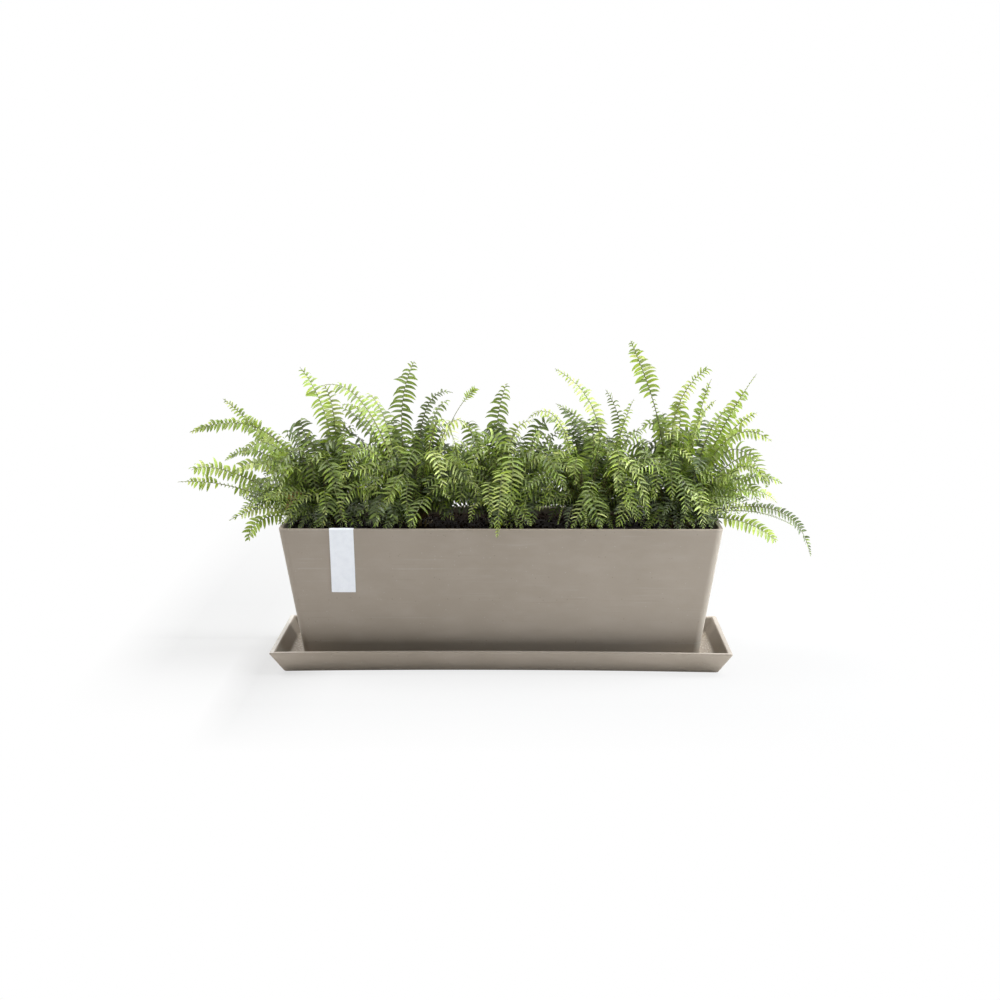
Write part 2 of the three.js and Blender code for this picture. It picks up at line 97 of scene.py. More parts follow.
# Camera
def place_camera():
    pitch, yaw, roll = 0.2059, -0.0209, -0.0032
    ahead = Vector((math.sin(yaw) * math.cos(pitch), math.cos(yaw) * math.cos(pitch), -math.sin(pitch)))
    right = Vector((math.cos(yaw), -math.sin(yaw), 0))
    up = right.cross(ahead)
    turn = Matrix((right, up, -ahead)).transposed().to_4x4() @ Matrix.Rotation(roll, 4, "Z")
    data = bpy.data.cameras.new("camera")
    data.lens = 52.2
    data.sensor_width = 36
    camera = put("camera", data)
    camera.matrix_world = Matrix.Translation((0.0528, -2.628, 0.8487)) @ turn
    bpy.context.scene.camera = camera


place_camera()


# Materials
DAMP_SPECULAR = 0.04
CRUMB_TILES = 16


class Paint:
    """A node tree under construction, of a new material or of the world."""

    def __init__(self, name, owner=None):
        self.owner = owner or bpy.data.materials.new(name)
        self.owner.use_nodes = True
        self.tree = self.owner.node_tree
        self.tree.nodes.clear()

    def node(self, kind, inputs=None, **settings):
        made = self.tree.nodes.new(kind)
        for key, value in settings.items():
            setattr(made, key, value)
        for key, value in (inputs or {}).items():
            if isinstance(value, bpy.types.NodeSocket):
                self.tree.links.new(value, made.inputs[key])
            else:
                made.inputs[key].default_value = value
        return made

    def math(self, operation, a, b=0.0):
        return self.node("ShaderNodeMath", {0: a, 1: b}, operation=operation).outputs[0]

    def times(self, a, b):
        return self.math("MULTIPLY", a, b)

    def vector(self, operation, a, b=(0, 0, 0)):
        return self.node("ShaderNodeVectorMath", {0: a, 1: b}, operation=operation).outputs

    def place(self):
        """Spot on the object, in metres."""
        return self.node("ShaderNodeTexCoord").outputs["Object"]

    def axes(self, vector):
        return self.node("ShaderNodeSeparateXYZ", {"Vector": vector}).outputs

    def tiles(self, count):
        """Place on a square of tiles that many to a side, and the tile it lies in."""
        place = self.node("ShaderNodeUVMap", uv_map="LeafTiles").outputs[0]
        tiles = self.vector("MULTIPLY", place, (count, count, 0))[0]
        return tiles, self.vector("FLOOR", tiles)[0]

    def noise(self, vector, scale, detail=2.0, roughness=0.5):
        inputs = {"Vector": vector, "Scale": scale, "Detail": detail, "Roughness": roughness}
        return self.node("ShaderNodeTexNoise", inputs).outputs["Fac"]

    def stretched(self, vector, x, y, z):
        return self.node("ShaderNodeMapping", {"Vector": vector, "Scale": (x, y, z)}).outputs[0]

    def between(self, value, low, high, to_low=0.0, to_high=1.0):
        inputs = {"Value": value, "From Min": low, "From Max": high, "To Min": to_low, "To Max": to_high}
        return self.node("ShaderNodeMapRange", inputs).outputs[0]

    def mix(self, share, a, b):
        return self.node("ShaderNodeMix", {0: share, 6: a, 7: b}, data_type="RGBA").outputs[2]

    def tint(self, share, *colour):
        """Lays a screen colour over the material's, as much as the share says."""
        self.colour = self.mix(share, self.colour, srgb(*colour))

    def blend(self, share, first, second):
        return self.node("ShaderNodeMixShader", {0: share, 1: first, 2: second}).outputs[0]

    def bump(self, height, distance, strength, after=None):
        inputs = {"Height": height, "Distance": distance, "Strength": strength}
        if after is not None:
            inputs["Normal"] = after
        return self.node("ShaderNodeBump", inputs).outputs[0]

    def surface(self, rough, normal, specular=0.5):
        inputs = {"Base Color": self.colour, "Roughness": rough, "Normal": normal, "Specular IOR Level": specular}
        return self.node("ShaderNodeBsdfPrincipled", inputs).outputs[0]

    def finish(self, shader, kind="ShaderNodeOutputMaterial"):
        self.node(kind, {"Surface": shader})
        return self.owner


def srgb(*colour):
    """A colour written as on a screen, 0 to 255, as Blender's linear values."""
    linear = [((c / 255 + 0.055) / 1.055) ** 2.4 if c > 10 else c / 255 / 12.92 for c in colour]
    return (*linear, 1.0)


def plastic_paint(name, add_marks_and_painted_light):
    """Matte recycled plastic: soft mottling, fine specks, faint level scuffs and a fine grain."""
    p = Paint(name)
    place = p.place()
    mottle = p.noise(place, 5.0, 4.0, 0.55)
    cloud = p.noise(p.stretched(place, 1.0, 1.0, 2.4), 17.0, 3.0)
    p.colour = p.mix(p.between(mottle, 0.3, 0.7), srgb(147, 136, 122), srgb(158, 147, 134))
    p.tint(p.between(cloud, 0.45, 0.8, 0.0, 0.35), 169, 158, 146)
    patch = p.noise(place, 13.0, 2.0)
    streak = p.noise(p.stretched(place, 7.0, 7.0, 300.0), 1.0, 3.0, 0.6)
    scuff = p.times(p.between(streak, 0.60, 0.72), p.between(patch, 0.48, 0.66))
    long_streak = p.noise(p.stretched(place, 1.6, 1.6, 190.0), 1.0, 2.0)
    long_scuff = p.times(p.between(long_streak, 0.66, 0.74), p.between(patch, 0.4, 0.6))
    p.tint(p.times(scuff, 0.24), 186, 178, 168)
    p.tint(p.times(long_scuff, 0.22), 180, 172, 162)
    dark_streak = p.noise(p.stretched(place, 5.0, 5.0, 210.0), 1.7, 2.0)
    p.tint(p.between(dark_streak, 0.66, 0.80, 0.0, 0.30), 122, 112, 100)
    grains = p.node("ShaderNodeTexVoronoi", {"Vector": place, "Scale": 170.0, "Randomness": 1.0}).outputs
    chosen = p.node("ShaderNodeSeparateColor", {"Color": grains["Color"]}).outputs
    small = p.between(grains["Distance"], 0.10, 0.22, 1.0, 0.0)
    pale = p.times(small, p.math("GREATER_THAN", chosen["Red"], 0.90))
    dark = p.times(small, p.math("GREATER_THAN", chosen["Green"], 0.93))
    p.tint(p.times(pale, 0.30), 196, 189, 180)
    p.tint(p.times(dark, 0.50), 104, 94, 82)
    fine = p.noise(place, 900.0, 2.0)
    p.tint(p.between(fine, 0.3, 0.7, 0.0, 0.14), 124, 115, 104)
    normal = p.bump(p.math("ADD", p.times(fine, 0.4), p.times(scuff, -0.6)), 0.00035, 0.5)
    rough = p.between(p.math("ADD", p.times(scuff, 0.5), mottle), 0.3, 1.0, 0.54, 0.68)
    return p.finish(p.surface(rough, add_marks_and_painted_light(p, place, mottle, normal), 0.42))


def saucer_marks_and_painted_light(p, place, mottle, normal):
    """Painted shade on the inner walls, painted highlights on the rim ends, and a dull floor with pale raised dots.
    """
    along, _, up = p.axes(place)
    facing = p.axes(p.node("ShaderNodeNewGeometry").outputs["True Normal"])["Z"]
    level = p.between(facing, 0.75, 0.95)
    floor = SAUCER_FLOOR_TOP * MM
    on_floor = p.times(level, p.between(up, floor + 0.0015, floor + 0.003, 1.0, 0.0))
    on_rim = p.times(level, p.between(up, floor + 0.015, floor + 0.02))
    # Painted shade: the inner walls below the rim are darkened towards a deep grey brown, more in places.
    painted_shade_wall = p.times(p.between(facing, 0.15, 0.4), p.math("SUBTRACT", 1.0, level))
    painted_shade_wall = p.times(painted_shade_wall, p.between(up, 0.038, 0.042, 1.0, 0.0))
    p.tint(p.times(painted_shade_wall, p.between(mottle, 0.3, 0.7, 0.50, 0.68)), 94, 86, 74)
    # Painted highlight: the rim tops at the ends are lightened towards a pale grey, the left end most.
    end = (SAUCER_HIGH[0] - SAUCER_WALL) * MM
    right_end = p.between(along, end, end + 0.001, 0.14, 0.22)
    left_end = p.between(along, -end, -end - 0.001, 0.0, 0.56)
    p.tint(p.times(on_rim, p.math("ADD", right_end, left_end)), 208, 205, 200)
    dots = p.node("ShaderNodeTexVoronoi", {"Vector": place, "Scale": 165.0, "Randomness": 0.9})
    dot = p.times(p.between(dots.outputs["Distance"], 0.20, 0.46, 1.0, 0.0), on_floor)
    p.tint(p.times(on_floor, 0.22), 104, 94, 80)
    p.tint(p.times(dot, 0.56), 196, 186, 172)
    return p.bump(dot, 0.0012, 0.9, normal)


def trough_painted_shade(p, place, mottle, normal):
    """Painted shade: darker inner walls, and a darker top of the rim."""
    facing = p.node("ShaderNodeNewGeometry").outputs["True Normal"]
    outward = p.vector("DOT_PRODUCT", facing, p.stretched(place, 1.0, 1.0, 0.0))["Value"]
    # Painted shade: the faces that look into the trough are darkened towards a near black brown.
    inner_wall_shade = p.times(p.between(outward, -0.02, -0.05), p.between(mottle, 0.3, 0.7, 0.55, 0.80))
    p.tint(inner_wall_shade, 46, 37, 28)
    # Painted shade: the upward faces of the rim are darkened.
    near_rim = p.between(p.axes(place)["Z"], (RIM_LEVEL - 4) * MM, (RIM_LEVEL - 2) * MM)
    on_rim = p.times(p.between(p.axes(facing)["Z"], 0.5, 0.9), near_rim)
    p.tint(p.times(on_rim, 0.4), 116, 107, 96)
    return normal


def card_paint():
    """Uncoated white card, with its fibres and a slightly worn fold."""
    p = Paint("white_card")
    place = p.place()
    fibre = p.noise(p.stretched(place, 1.0, 1.0, 0.35), 1500.0, 3.0, 0.6)
    cloud = p.noise(place, 90.0, 2.0)
    p.colour = p.mix(p.between(fibre, 0.3, 0.7), srgb(232, 235, 241), srgb(241, 243, 247))
    p.tint(p.between(cloud, 0.4, 0.8, 0.0, 0.4), 219, 222, 229)
    fold = p.between(p.axes(place)["Z"], (RIM_LEVEL - 2.5) * MM, RIM_LEVEL * MM)
    worn = p.times(fold, p.between(p.noise(place, 700.0, 3.0), 0.45, 0.7))
    p.tint(p.times(worn, 0.4), 205, 206, 210)
    normal = p.bump(p.math("ADD", fibre, p.times(cloud, 0.8)), 0.00016, 0.5)
    return p.finish(p.surface(0.58, normal))


def soil_paint():
    """Damp peat: near black, with brown crumbs."""
    p = Paint("potting_soil")
    place = p.place()
    lump = p.noise(place, 70.0, 4.0, 0.6)
    crumb = p.noise(place, 320.0, 4.0, 0.65)
    p.colour = p.mix(p.between(lump, 0.35, 0.7), srgb(17, 11, 7), srgb(31, 21, 13))
    p.tint(p.between(crumb, 0.55, 0.8, 0.0, 0.5), 50, 37, 25)
    normal = p.bump(p.math("ADD", lump, crumb), 0.004, 0.9)
    return p.finish(p.surface(p.between(crumb, 0.3, 0.7, 0.78, 0.98), normal, DAMP_SPECULAR))


def crumb_paint():
    """Crumbs of bark and peat, each its own brown."""
    p = Paint("soil_crumb")
    tiles, tile = p.tiles(CRUMB_TILES)
    vary = p.node("ShaderNodeTexWhiteNoise", {"Vector": tile}, noise_dimensions="2D").outputs["Value"]
    grain = p.noise(tiles, 6.0, 3.0)
    p.colour = p.mix(vary, srgb(17, 11, 7), srgb(42, 30, 19))
    p.tint(p.math("GREATER_THAN", vary, 0.955), 104, 88, 64)
    p.tint(p.between(grain, 0.4, 0.8, 0.0, 0.5), 20, 15, 10)
    return p.finish(p.surface(0.92, p.bump(grain, 0.001, 0.8), DAMP_SPECULAR))


def root_paint():
    """Matted brown roots held together by peat."""
    p = Paint("root_ball")
    place = p.place()
    strands = p.noise(p.stretched(place, 1.0, 1.0, 0.35), 260.0, 4.0, 0.7)
    lump = p.noise(place, 60.0, 3.0)
    p.colour = p.mix(p.between(lump, 0.35, 0.7), srgb(34, 25, 17), srgb(62, 46, 31))
    p.tint(p.between(strands, 0.52, 0.66, 0.0, 0.8), 126, 100, 68)
    return p.finish(p.surface(0.9, p.bump(p.math("ADD", strands, lump), 0.003, 0.8)))


# A plant's colours lie on a square of tiles: each row is a tone, each column a slight variation of it.
TILES = 8
DEEP, DARK, MIDDLE, FRESH, LIGHT, YOUNG, WITHERED, STALK = range(TILES)
# The near black DEEP tone is painted shade, for fronds low, behind and deep in the plant; DARK is partly old fronds'
# own colour and partly painted shade.
TONES = [(26, 35, 11), (60, 77, 25), (112, 133, 47), (151, 174, 62), (194, 208, 118), (162, 190, 50), (140, 78, 44),
         (122, 124, 64)]


def leaf_paint():
    """Fern leaf: tones by tile, pale midrib and side veins, softly glossy, and light shines through."""
    p = Paint("fern_leaf")
    tiles, tile = p.tiles(TILES)
    across, along, _ = p.axes(p.vector("FRACTION", tiles)[0])
    across = p.math("ABSOLUTE", p.math("SUBTRACT", across, 0.5))
    row = p.axes(tile)["Y"]
    is_leaf = p.math("LESS_THAN", row, STALK - 0.5)
    ramp = p.node("ShaderNodeValToRGB", {0: p.math("DIVIDE", p.math("ADD", row, 0.5), TILES)})
    ramp.color_ramp.interpolation = "CONSTANT"
    stops = ramp.color_ramp.elements
    stops[1].position = 1 / TILES
    for number in range(2, TILES):
        stops.new(number / TILES)
    for stop, tone in zip(stops, TONES):
        stop.color = srgb(*tone)
    vary = p.node("ShaderNodeTexWhiteNoise", {"Vector": tile}, noise_dimensions="2D")
    vary = p.node("ShaderNodeSeparateColor", {"Color": vary.outputs["Color"]}).outputs
    # Each leaflet is darker at its base and lighter towards its tip: partly its own colour, partly painted shade and
    # highlight.
    shade = p.between(along, 0.0, 1.0, 0.72, 1.24)
    p.colour = p.node("ShaderNodeHueSaturation", {
        "Color": ramp.outputs["Color"],
        "Hue": p.between(vary["Green"], 0.0, 1.0, 0.485, 0.512),
        "Saturation": p.between(vary["Blue"], 0.0, 1.0, 0.88, 1.08),
        "Value": p.times(shade, p.between(vary["Red"], 0.0, 1.0, 0.66, 1.44))}).outputs[0]
    mottle = p.noise(tiles, 9.0, 3.0)
    p.tint(p.between(mottle, 0.35, 0.75, 0.0, 0.30), 56, 82, 28)
    rib = p.times(p.between(across, 0.02, 0.075, 1.0, 0.0), is_leaf)
    p.tint(p.times(rib, 0.5), 158, 178, 96)
    slant = p.math("SUBTRACT", p.times(along, 15.0), p.times(across, 5.0))
    side_vein = p.times(p.between(p.math("PINGPONG", slant, 0.5), 0.0, 0.16, 1.0, 0.0), is_leaf)
    p.tint(p.times(side_vein, 0.18), 150, 172, 92)
    edge = p.times(p.between(across, 0.36, 0.46), is_leaf)
    p.tint(p.times(edge, 0.18), 160, 182, 88)
    scales = p.noise(p.stretched(tiles, 3.0, 22.0, 1.0), 5.0, 3.0)
    brown = p.between(p.math("SUBTRACT", scales, p.times(along, 0.9)), 0.0, 0.5)
    brown = p.times(brown, p.math("GREATER_THAN", row, STALK - 0.5))
    p.tint(brown, 96, 66, 38)
    height = p.math("ADD", p.times(rib, -1.0), p.times(side_vein, -0.5))
    normal = p.bump(p.math("ADD", height, p.times(mottle, 0.6)), 0.0003, 0.6)
    rough = p.between(p.math("ADD", mottle, p.times(rib, 0.3)), 0.3, 0.9, 0.28, 0.40)
    gloss = p.surface(rough, normal, 0.58)
    through = p.node("ShaderNodeBsdfTranslucent", {"Color": p.mix(0.35, p.colour, srgb(160, 188, 66))})
    return p.finish(p.blend(0.19, gloss, through.outputs[0]))


# Mesh helpers
EDGE_ANGLE = 34  # degrees, from which an edge of the moulded parts is sharp


def put_mesh(name, points, faces):
    """A mesh object from points in millimetres."""
    mesh = bpy.data.meshes.new(name)
    mesh.from_pydata((np.asarray(points, float) * MM).tolist(), [], faces)
    return put(name, mesh)


def make_piece(name, points, faces, material, body, slot, replaces=(), uvs=None, smooth_angle=0):
    """A visible piece from points in millimetres, riding on a body of the model."""
    piece = put_mesh(name, points, faces)
    mesh = piece.data
    mesh.validate()
    if uvs is not None:
        corners = np.empty(len(mesh.loops), np.int64)
        mesh.loops.foreach_get("vertex_index", corners)
        for layer_name in ("LeafTiles", "OFBake"):
            layer = mesh.uv_layers.new(name=layer_name)
            layer.data.foreach_set("uv", np.asarray(uvs, np.float32)[corners].ravel())
    smooth(mesh, smooth_angle)
    mesh.materials.append(material)
    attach(piece, body)
    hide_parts(*replaces)
    return piece


def smooth(mesh, sharp_angle):
    """Smooth faces, with edges sharp from an angle in degrees, or nowhere at 0."""
    mesh.polygons.foreach_set("use_smooth", np.ones(len(mesh.polygons), bool))
    if sharp_angle:
        mesh.set_sharp_from_angle(angle=math.radians(sharp_angle))


def outline(half_length, half_depth, corner, z, bow=0.0, long_steps=1, corner_steps=10):
    """A rectangle with round corners seen from above, its long sides curved inward by the bow."""
    along, across = half_length - corner, half_depth - corner
    points = []
    for quarter, (x, y) in enumerate(((along, -across), (along, across), (-along, across), (-along, -across))):
        for step in range(corner_steps + 1):
            angle = math.pi / 2 * (quarter - 1 + step / corner_steps)
            points.append((x + corner * math.cos(angle), y + corner * math.sin(angle), z))
        if quarter % 2:
            side = math.copysign(1.0, y)
            for step in range(1, long_steps):
                place = along * (1 - 2 * step / long_steps)
                inward = bow * (1 - (place / along) ** 2)
                points.append((side * place, side * (half_depth - inward), z))
    return np.array(points)


def loft(rings):
    """Points and faces through a row of rings of as many points each, with a lid on both ends."""
    count = len(rings[0])
    faces = []
    for low in range(0, (len(rings) - 1) * count, count):
        for i in range(count):
            j = (i + 1) % count
            faces.append((low + i, low + j, low + count + j, low + count + i))
    faces.append(tuple(range(count))[::-1])
    faces.append(tuple(range((len(rings) - 1) * count, len(rings) * count)))
    return np.concatenate(rings), faces


def merged(solids):
    """Points and faces of several solids as those of one."""
    points, faces, start = [], [], 0
    for solid_points, solid_faces in solids:
        points.append(solid_points)
        faces.extend(tuple(i + start for i in face) for face in solid_faces)
        start += len(solid_points)
    return np.concatenate(points), faces


def rounding(radius, steps=4):
    """Inset and drop of the points on a quarter round, from the upright face to the level one."""
    angles = [math.pi / 2 * step / steps for step in range(steps + 1)]
    return [(radius * (1 - math.cos(a)), radius * (1 - math.sin(a))) for a in angles]


def cut(piece, solids):
    """Takes solids out of a piece for good, and keeps its large flat faces flat beside rounded edges."""
    cutter = put_mesh("cutter", *merged(solids))
    tool = piece.modifiers.new("cut", "BOOLEAN")
    tool.operation = "DIFFERENCE"
    tool.solver = "EXACT"
    tool.object = cutter
    bpy.context.view_layer.update()
    shaped = piece.evaluated_get(bpy.context.evaluated_depsgraph_get())
    whole, piece.data = piece.data, bpy.data.meshes.new_from_object(shaped)
    piece.modifiers.clear()
    bpy.data.meshes.remove(whole)
    bpy.data.objects.remove(cutter)
    smooth(piece.data, EDGE_ANGLE)
    piece.modifiers.new("even_normals", "WEIGHTED_NORMAL").keep_sharp = True


def unit(v):
    return v / np.maximum(np.linalg.norm(v, axis=-1, keepdims=True), 1e-9)


def ring_at(radius, x, y, z, steps=40):
    angles = np.arange(steps) * FULL_TURN / steps
    return np.stack([x + radius * np.cos(angles), y + radius * np.sin(angles), np.full(steps, z)], 1)


# Saucer
def saucer_half(z, inset):
    lean = SAUCER_FLARE * (1 - z / SAUCER_HEIGHT)
    return SAUCER_HIGH[0] - lean - inset, SAUCER_HIGH[1] - lean - inset


def build_saucer(material):
    def ring(z, inset, corner=SAUCER_CORNER):
        return outline(*saucer_half(z, inset), corner, z, SAUCER_BOW, 48, 6)

    def upright(z, inset):
        return ring(z, inset - (SAUCER_HIGH[0] - saucer_half(z, 0)[0]))

    inner = SAUCER_CORNER - 2
    rim = rounding(SAUCER_RIM_EDGE)
    rings = [ring(drop, inset) for inset, drop in rounding(SAUCER_FOOT_EDGE)[::-1]]
    rings.append(upright(SAUCER_HEIGHT - SAUCER_BAND, 0))
    rings += [upright(SAUCER_HEIGHT - drop, inset) for inset, drop in rim]
    rings += [ring(SAUCER_HEIGHT - drop, SAUCER_WALL - inset, inner) for inset, drop in rim[::-1]]
    rings += [ring(SAUCER_FLOOR_TOP + drop, SAUCER_WALL + inset, inner) for inset, drop in rounding(SAUCER_COVE)]
    piece = make_piece("saucer_shell", *loft(rings), material, "saucer", "saucer_plastic", ["saucer"])

    end_x = SAUCER_HIGH[0] - SAUCER_FLARE - SAUCER_WALL
    end_y = SAUCER_HIGH[1] - SAUCER_FLARE - SAUCER_BOW - SAUCER_WALL
    pitch_x, pitch_y = (2 * end_x + RIB_WIDTH) / RIB_COLUMNS, (2 * end_y + RIB_WIDTH) / RIB_ROWS
    half_x, half_y = (pitch_x - RIB_WIDTH) / 2, (pitch_y - RIB_WIDTH) / 2
    top = SAUCER_FLOOR_TOP - SAUCER_FLOOR
    levels = [(-SAUCER_FLOOR, 0.0), (top - 1.5, 0.0), (top - 0.5, 0.5), (top, 1.5)]
    pockets = []
    for column in range(RIB_COLUMNS):
        for row in range(RIB_ROWS):
            middle = (-end_x + column * pitch_x + half_x, -end_y + row * pitch_y + half_y, 0)
            pockets.append(loft([outline(half_x - inset, half_y - inset, POCKET_CORNER, z, corner_steps=4) + middle
                                 for z, inset in levels]))
    cut(piece, pockets)


# Trough
def pot_half(z, inset):
    lean = POT_TAPER * (RIM_LEVEL - z)
    return POT_HIGH[0] - lean - inset, POT_HIGH[1] - lean - inset


def build_trough(material):
    def ring(z, inset, corner):
        return outline(*pot_half(z, inset), corner, z, corner_steps=12)

    inner = POT_CORNER - POT_WALL
    floor = POT_UNDERSIDE + POT_FLOOR
    rim = rounding(POT_RIM_EDGE)
    rings = [ring(POT_UNDERSIDE + drop, inset, POT_CORNER - inset * 0.6)
             for inset, drop in rounding(POT_FOOT_EDGE)[::-1]]
    rings += [ring(RIM_LEVEL - drop, inset, POT_CORNER - inset * 0.6) for inset, drop in rim]
    rings += [ring(RIM_LEVEL - drop, POT_WALL - inset, inner + inset * 0.6) for inset, drop in rim[::-1]]
    rings += [ring(floor + drop, POT_WALL + inset, inner) for inset, drop in rounding(POT_COVE)]
    solids = [loft(rings)]
    end_x, end_y = pot_half(POT_UNDERSIDE, FOOT_INSET)
    for x in (-end_x, 0.0, end_x):
        for y in (-end_y, end_y):
            foot = [ring_at(FOOT_RADIUS - inset, x, y, POT_LOW[2] + drop)
                    for inset, drop in rounding(FOOT_EDGE)[::-1]]
            solids.append(loft([*foot, ring_at(FOOT_RADIUS, x, y, POT_UNDERSIDE + 0.05)]))
    piece = make_piece("trough_shell", *merged(solids), material, "trough", "trough_plastic", ["trough"])
    cut(piece, [loft([ring_at(DRAIN_RADIUS, DRAIN_PITCH * n, 0, z) for z in (POT_UNDERSIDE - 2, floor + 2)])
                for n in (-1, 0, 1)])


# Tag: a strip of card bent over the rim, its lower end standing off a little.
def build_tag(material):
    slope = math.atan(POT_TAPER)
    up_wall = np.array([-math.sin(slope), math.cos(slope)])
    off_wall = np.array([-math.cos(slope), -math.sin(slope)])
    outer = np.array([-POT_HIGH[1], RIM_LEVEL]) + off_wall * SEAT_GAP
    inner = np.array([-POT_HIGH[1] + POT_WALL + SEAT_GAP, RIM_LEVEL + SEAT_GAP])
    legs, bends = 24, 8
    quarter = [math.pi / 2 * step / bends for step in range(1, bends + 1)]
    line = []
    for step in range(legs + 1):
        share = 1 - step / legs
        lift = 1.6 * share ** 5 + 0.25 * math.sin(share * 5.0) ** 2
        line.append(outer - up_wall * (TAG_DROP - 1.0) * share + off_wall * lift)
    line += [outer + (TAG_FOLD * (1 - math.cos(a)), TAG_FOLD * math.sin(a) - TAG_FOLD + SEAT_GAP) for a in quarter]
    line += [inner + (TAG_FOLD * (math.sin(a) - 1), TAG_FOLD * (math.cos(a) - 1)) for a in quarter]
    line += [inner + (0.0, -TAG_FOLD) - up_wall * (TAG_INNER_LEG - TAG_FOLD - 1) * step / bends
             for step in range(1, bends + 1)]
    line = np.array(line)
    ahead = unit(np.gradient(line, axis=0))
    away = np.stack([-ahead[:, 1], ahead[:, 0]], 1)
    xs = np.linspace(TAG_LOW[0] + 0.2, TAG_HIGH[0] - 0.2, 13)
    rings = []
    for x in xs:
        bow = off_wall * 0.35 * (1 - ((x - xs[0]) / (xs[-1] - xs[0]) * 2 - 1) ** 2)
        ring = np.concatenate([line, (line + away * TAG_THICKNESS)[::-1]])
        ring[:legs + 1] += bow * np.linspace(1, 0, legs + 1)[:, None] ** 2
        ring[-legs - 1:] += bow * np.linspace(0, 1, legs + 1)[:, None] ** 2
        rings.append(np.concatenate([np.full((len(ring), 1), x), ring], 1))
    piece = make_piece("folded_card", *loft(rings), material, "tag", "tag_card", ["paper_tag"], smooth_angle=50)
    soft = piece.modifiers.new("soft_edge", "BEVEL")
    soft.width = 0.2 * MM
    soft.segments = 1
    soft.limit_method = "ANGLE"
    soft.angle_limit = math.radians(60)


# Soil and roots
def soil_height(x, y):
    long = np.sin(x / 31) * np.cos(y / 23)
    short = np.sin(x / 13 + y / 9)
    return SOIL_LEVEL + 2.5 * (0.6 * long + 0.4 * short)


def rough(x, y, seed):
    """Sum of tilted waves, about -1 to 1, that never repeats over the trough."""
    rng = np.random.default_rng(seed)
    total = 0
    for n in range(14):
        angle = rng.uniform(0, math.pi)
        length = 26 / 1.28 ** n
        wave = np.sin((x * math.cos(angle) + y * math.sin(angle)) / length * 2 + rng.uniform(0, RANDOM_TURN))
        total = total + wave / 1.22 ** n
    return total / 3.2


def build_soil(material, crumb_material):
    columns, rows = 300, 76
    half_x, half_y = (half - 0.6 for half in pot_half(SOIL_LEVEL, POT_WALL))
    xs, ys = np.meshgrid(np.linspace(-half_x, half_x, columns + 1), np.linspace(-half_y, half_y, rows + 1))
    zs = soil_height(xs, ys) + 1.3 * rough(xs, ys, 11) + 0.7 * np.abs(rough(xs * 2.3, ys * 2.3, 12)) - 1.0
    top = np.stack([xs, ys, zs], -1).reshape(-1, 3)
    wide = columns + 1
    faces = [(a, a + 1, a + wide + 1, a + wide) for r in range(rows) for a in range(r * wide, r * wide + columns)]
    rim = list(range(wide)) + [r * wide + columns for r in range(1, rows + 1)]
    rim += [rows * wide + c for c in range(columns)[::-1]] + [r * wide for r in range(1, rows)[::-1]]
    low_level = POT_UNDERSIDE + POT_FLOOR + 6
    shrink = POT_TAPER * (SOIL_LEVEL - low_level)
    low = top[rim]
    low[:, 0] *= (half_x - shrink) / half_x
    low[:, 1] *= (half_y - shrink) / half_y
    low[:, 2] = low_level
    count, start = len(rim), len(top)
    faces += [(rim[i], start + i, start + (i + 1) % count, rim[(i + 1) % count]) for i in range(count)]
    faces.append(tuple(range(start, start + count))[::-1])
    points = np.concatenate([top, low])
    uvs = np.zeros((len(points), 2))
    uvs[:start, 0] = top[:, 0] / (2 * half_x) + 0.5
    uvs[:start, 1] = 0.62 + 0.36 * top[:, 1] / half_y
    uvs[:start] = np.clip(uvs[:start], 0.002, 0.998)
    turn = np.arctan2(low[:, 1] * half_x / half_y, low[:, 0])
    uvs[start:, 0] = 0.5 + 0.49 * np.cos(turn)
    uvs[start:, 1] = 0.12 + 0.11 * np.sin(turn)
    make_piece("soil_bed", points, faces, material, "trough", "soil", ["potting_soil"], uvs)

    rng = np.random.default_rng(5)
    ball, ball_faces = icosahedron()
    crumbs, tiles = [], []
    for n in range(CRUMB_COUNT):
        size = rng.uniform(0.8, 2.6) if n % 9 else rng.uniform(2.4, 4.2)
        x, y = rng.uniform(-half_x + 5, half_x - 5), rng.uniform(-half_y + 5, half_y - 5)
        if TAG_LOW[0] - 4 < x < TAG_HIGH[0] + 4 and y < -half_y + 8:
            continue
        shape = ball * rng.uniform(0.6, 1.15, (len(ball), 1)) * size * rng.uniform(0.7, 1.2, 3)
        spin = rotation(rng.normal(size=3), rng.uniform(0, RANDOM_TURN))
        crumbs.append((shape @ spin.T + (x, y, soil_height(x, y) + size * 0.35), ball_faces))
        tile = rng.integers(0, CRUMB_TILES, 2)
        tiles.append((tile + 0.5 + 0.42 * ball[:, :2]) / CRUMB_TILES)
    make_piece("soil_crumbs", *merged(crumbs), crumb_material, "trough", "soil", uvs=np.concatenate(tiles),
               smooth_angle=40)


def icosahedron():
    g = (1 + 5 ** 0.5) / 2
    points = np.array([(-1, g, 0), (1, g, 0), (-1, -g, 0), (1, -g, 0), (0, -1, g), (0, 1, g), (0, -1, -g), (0, 1, -g),
                       (g, 0, -1), (g, 0, 1), (-g, 0, -1), (-g, 0, 1)], float) / (1 + g * g) ** 0.5
    faces = [(0, 11, 5), (0, 5, 1), (0, 1, 7), (0, 7, 10), (0, 10, 11), (1, 5, 9), (5, 11, 4), (11, 10, 2),
             (10, 7, 6), (7, 1, 8), (3, 9, 4), (3, 4, 2), (3, 2, 6), (3, 6, 8), (3, 8, 9), (4, 9, 5), (2, 4, 11),
             (6, 2, 10), (8, 6, 7), (9, 8, 1)]
    return points, faces


def rotation(axis, angle):
    return np.array(Matrix.Rotation(angle, 3, Vector(axis)))


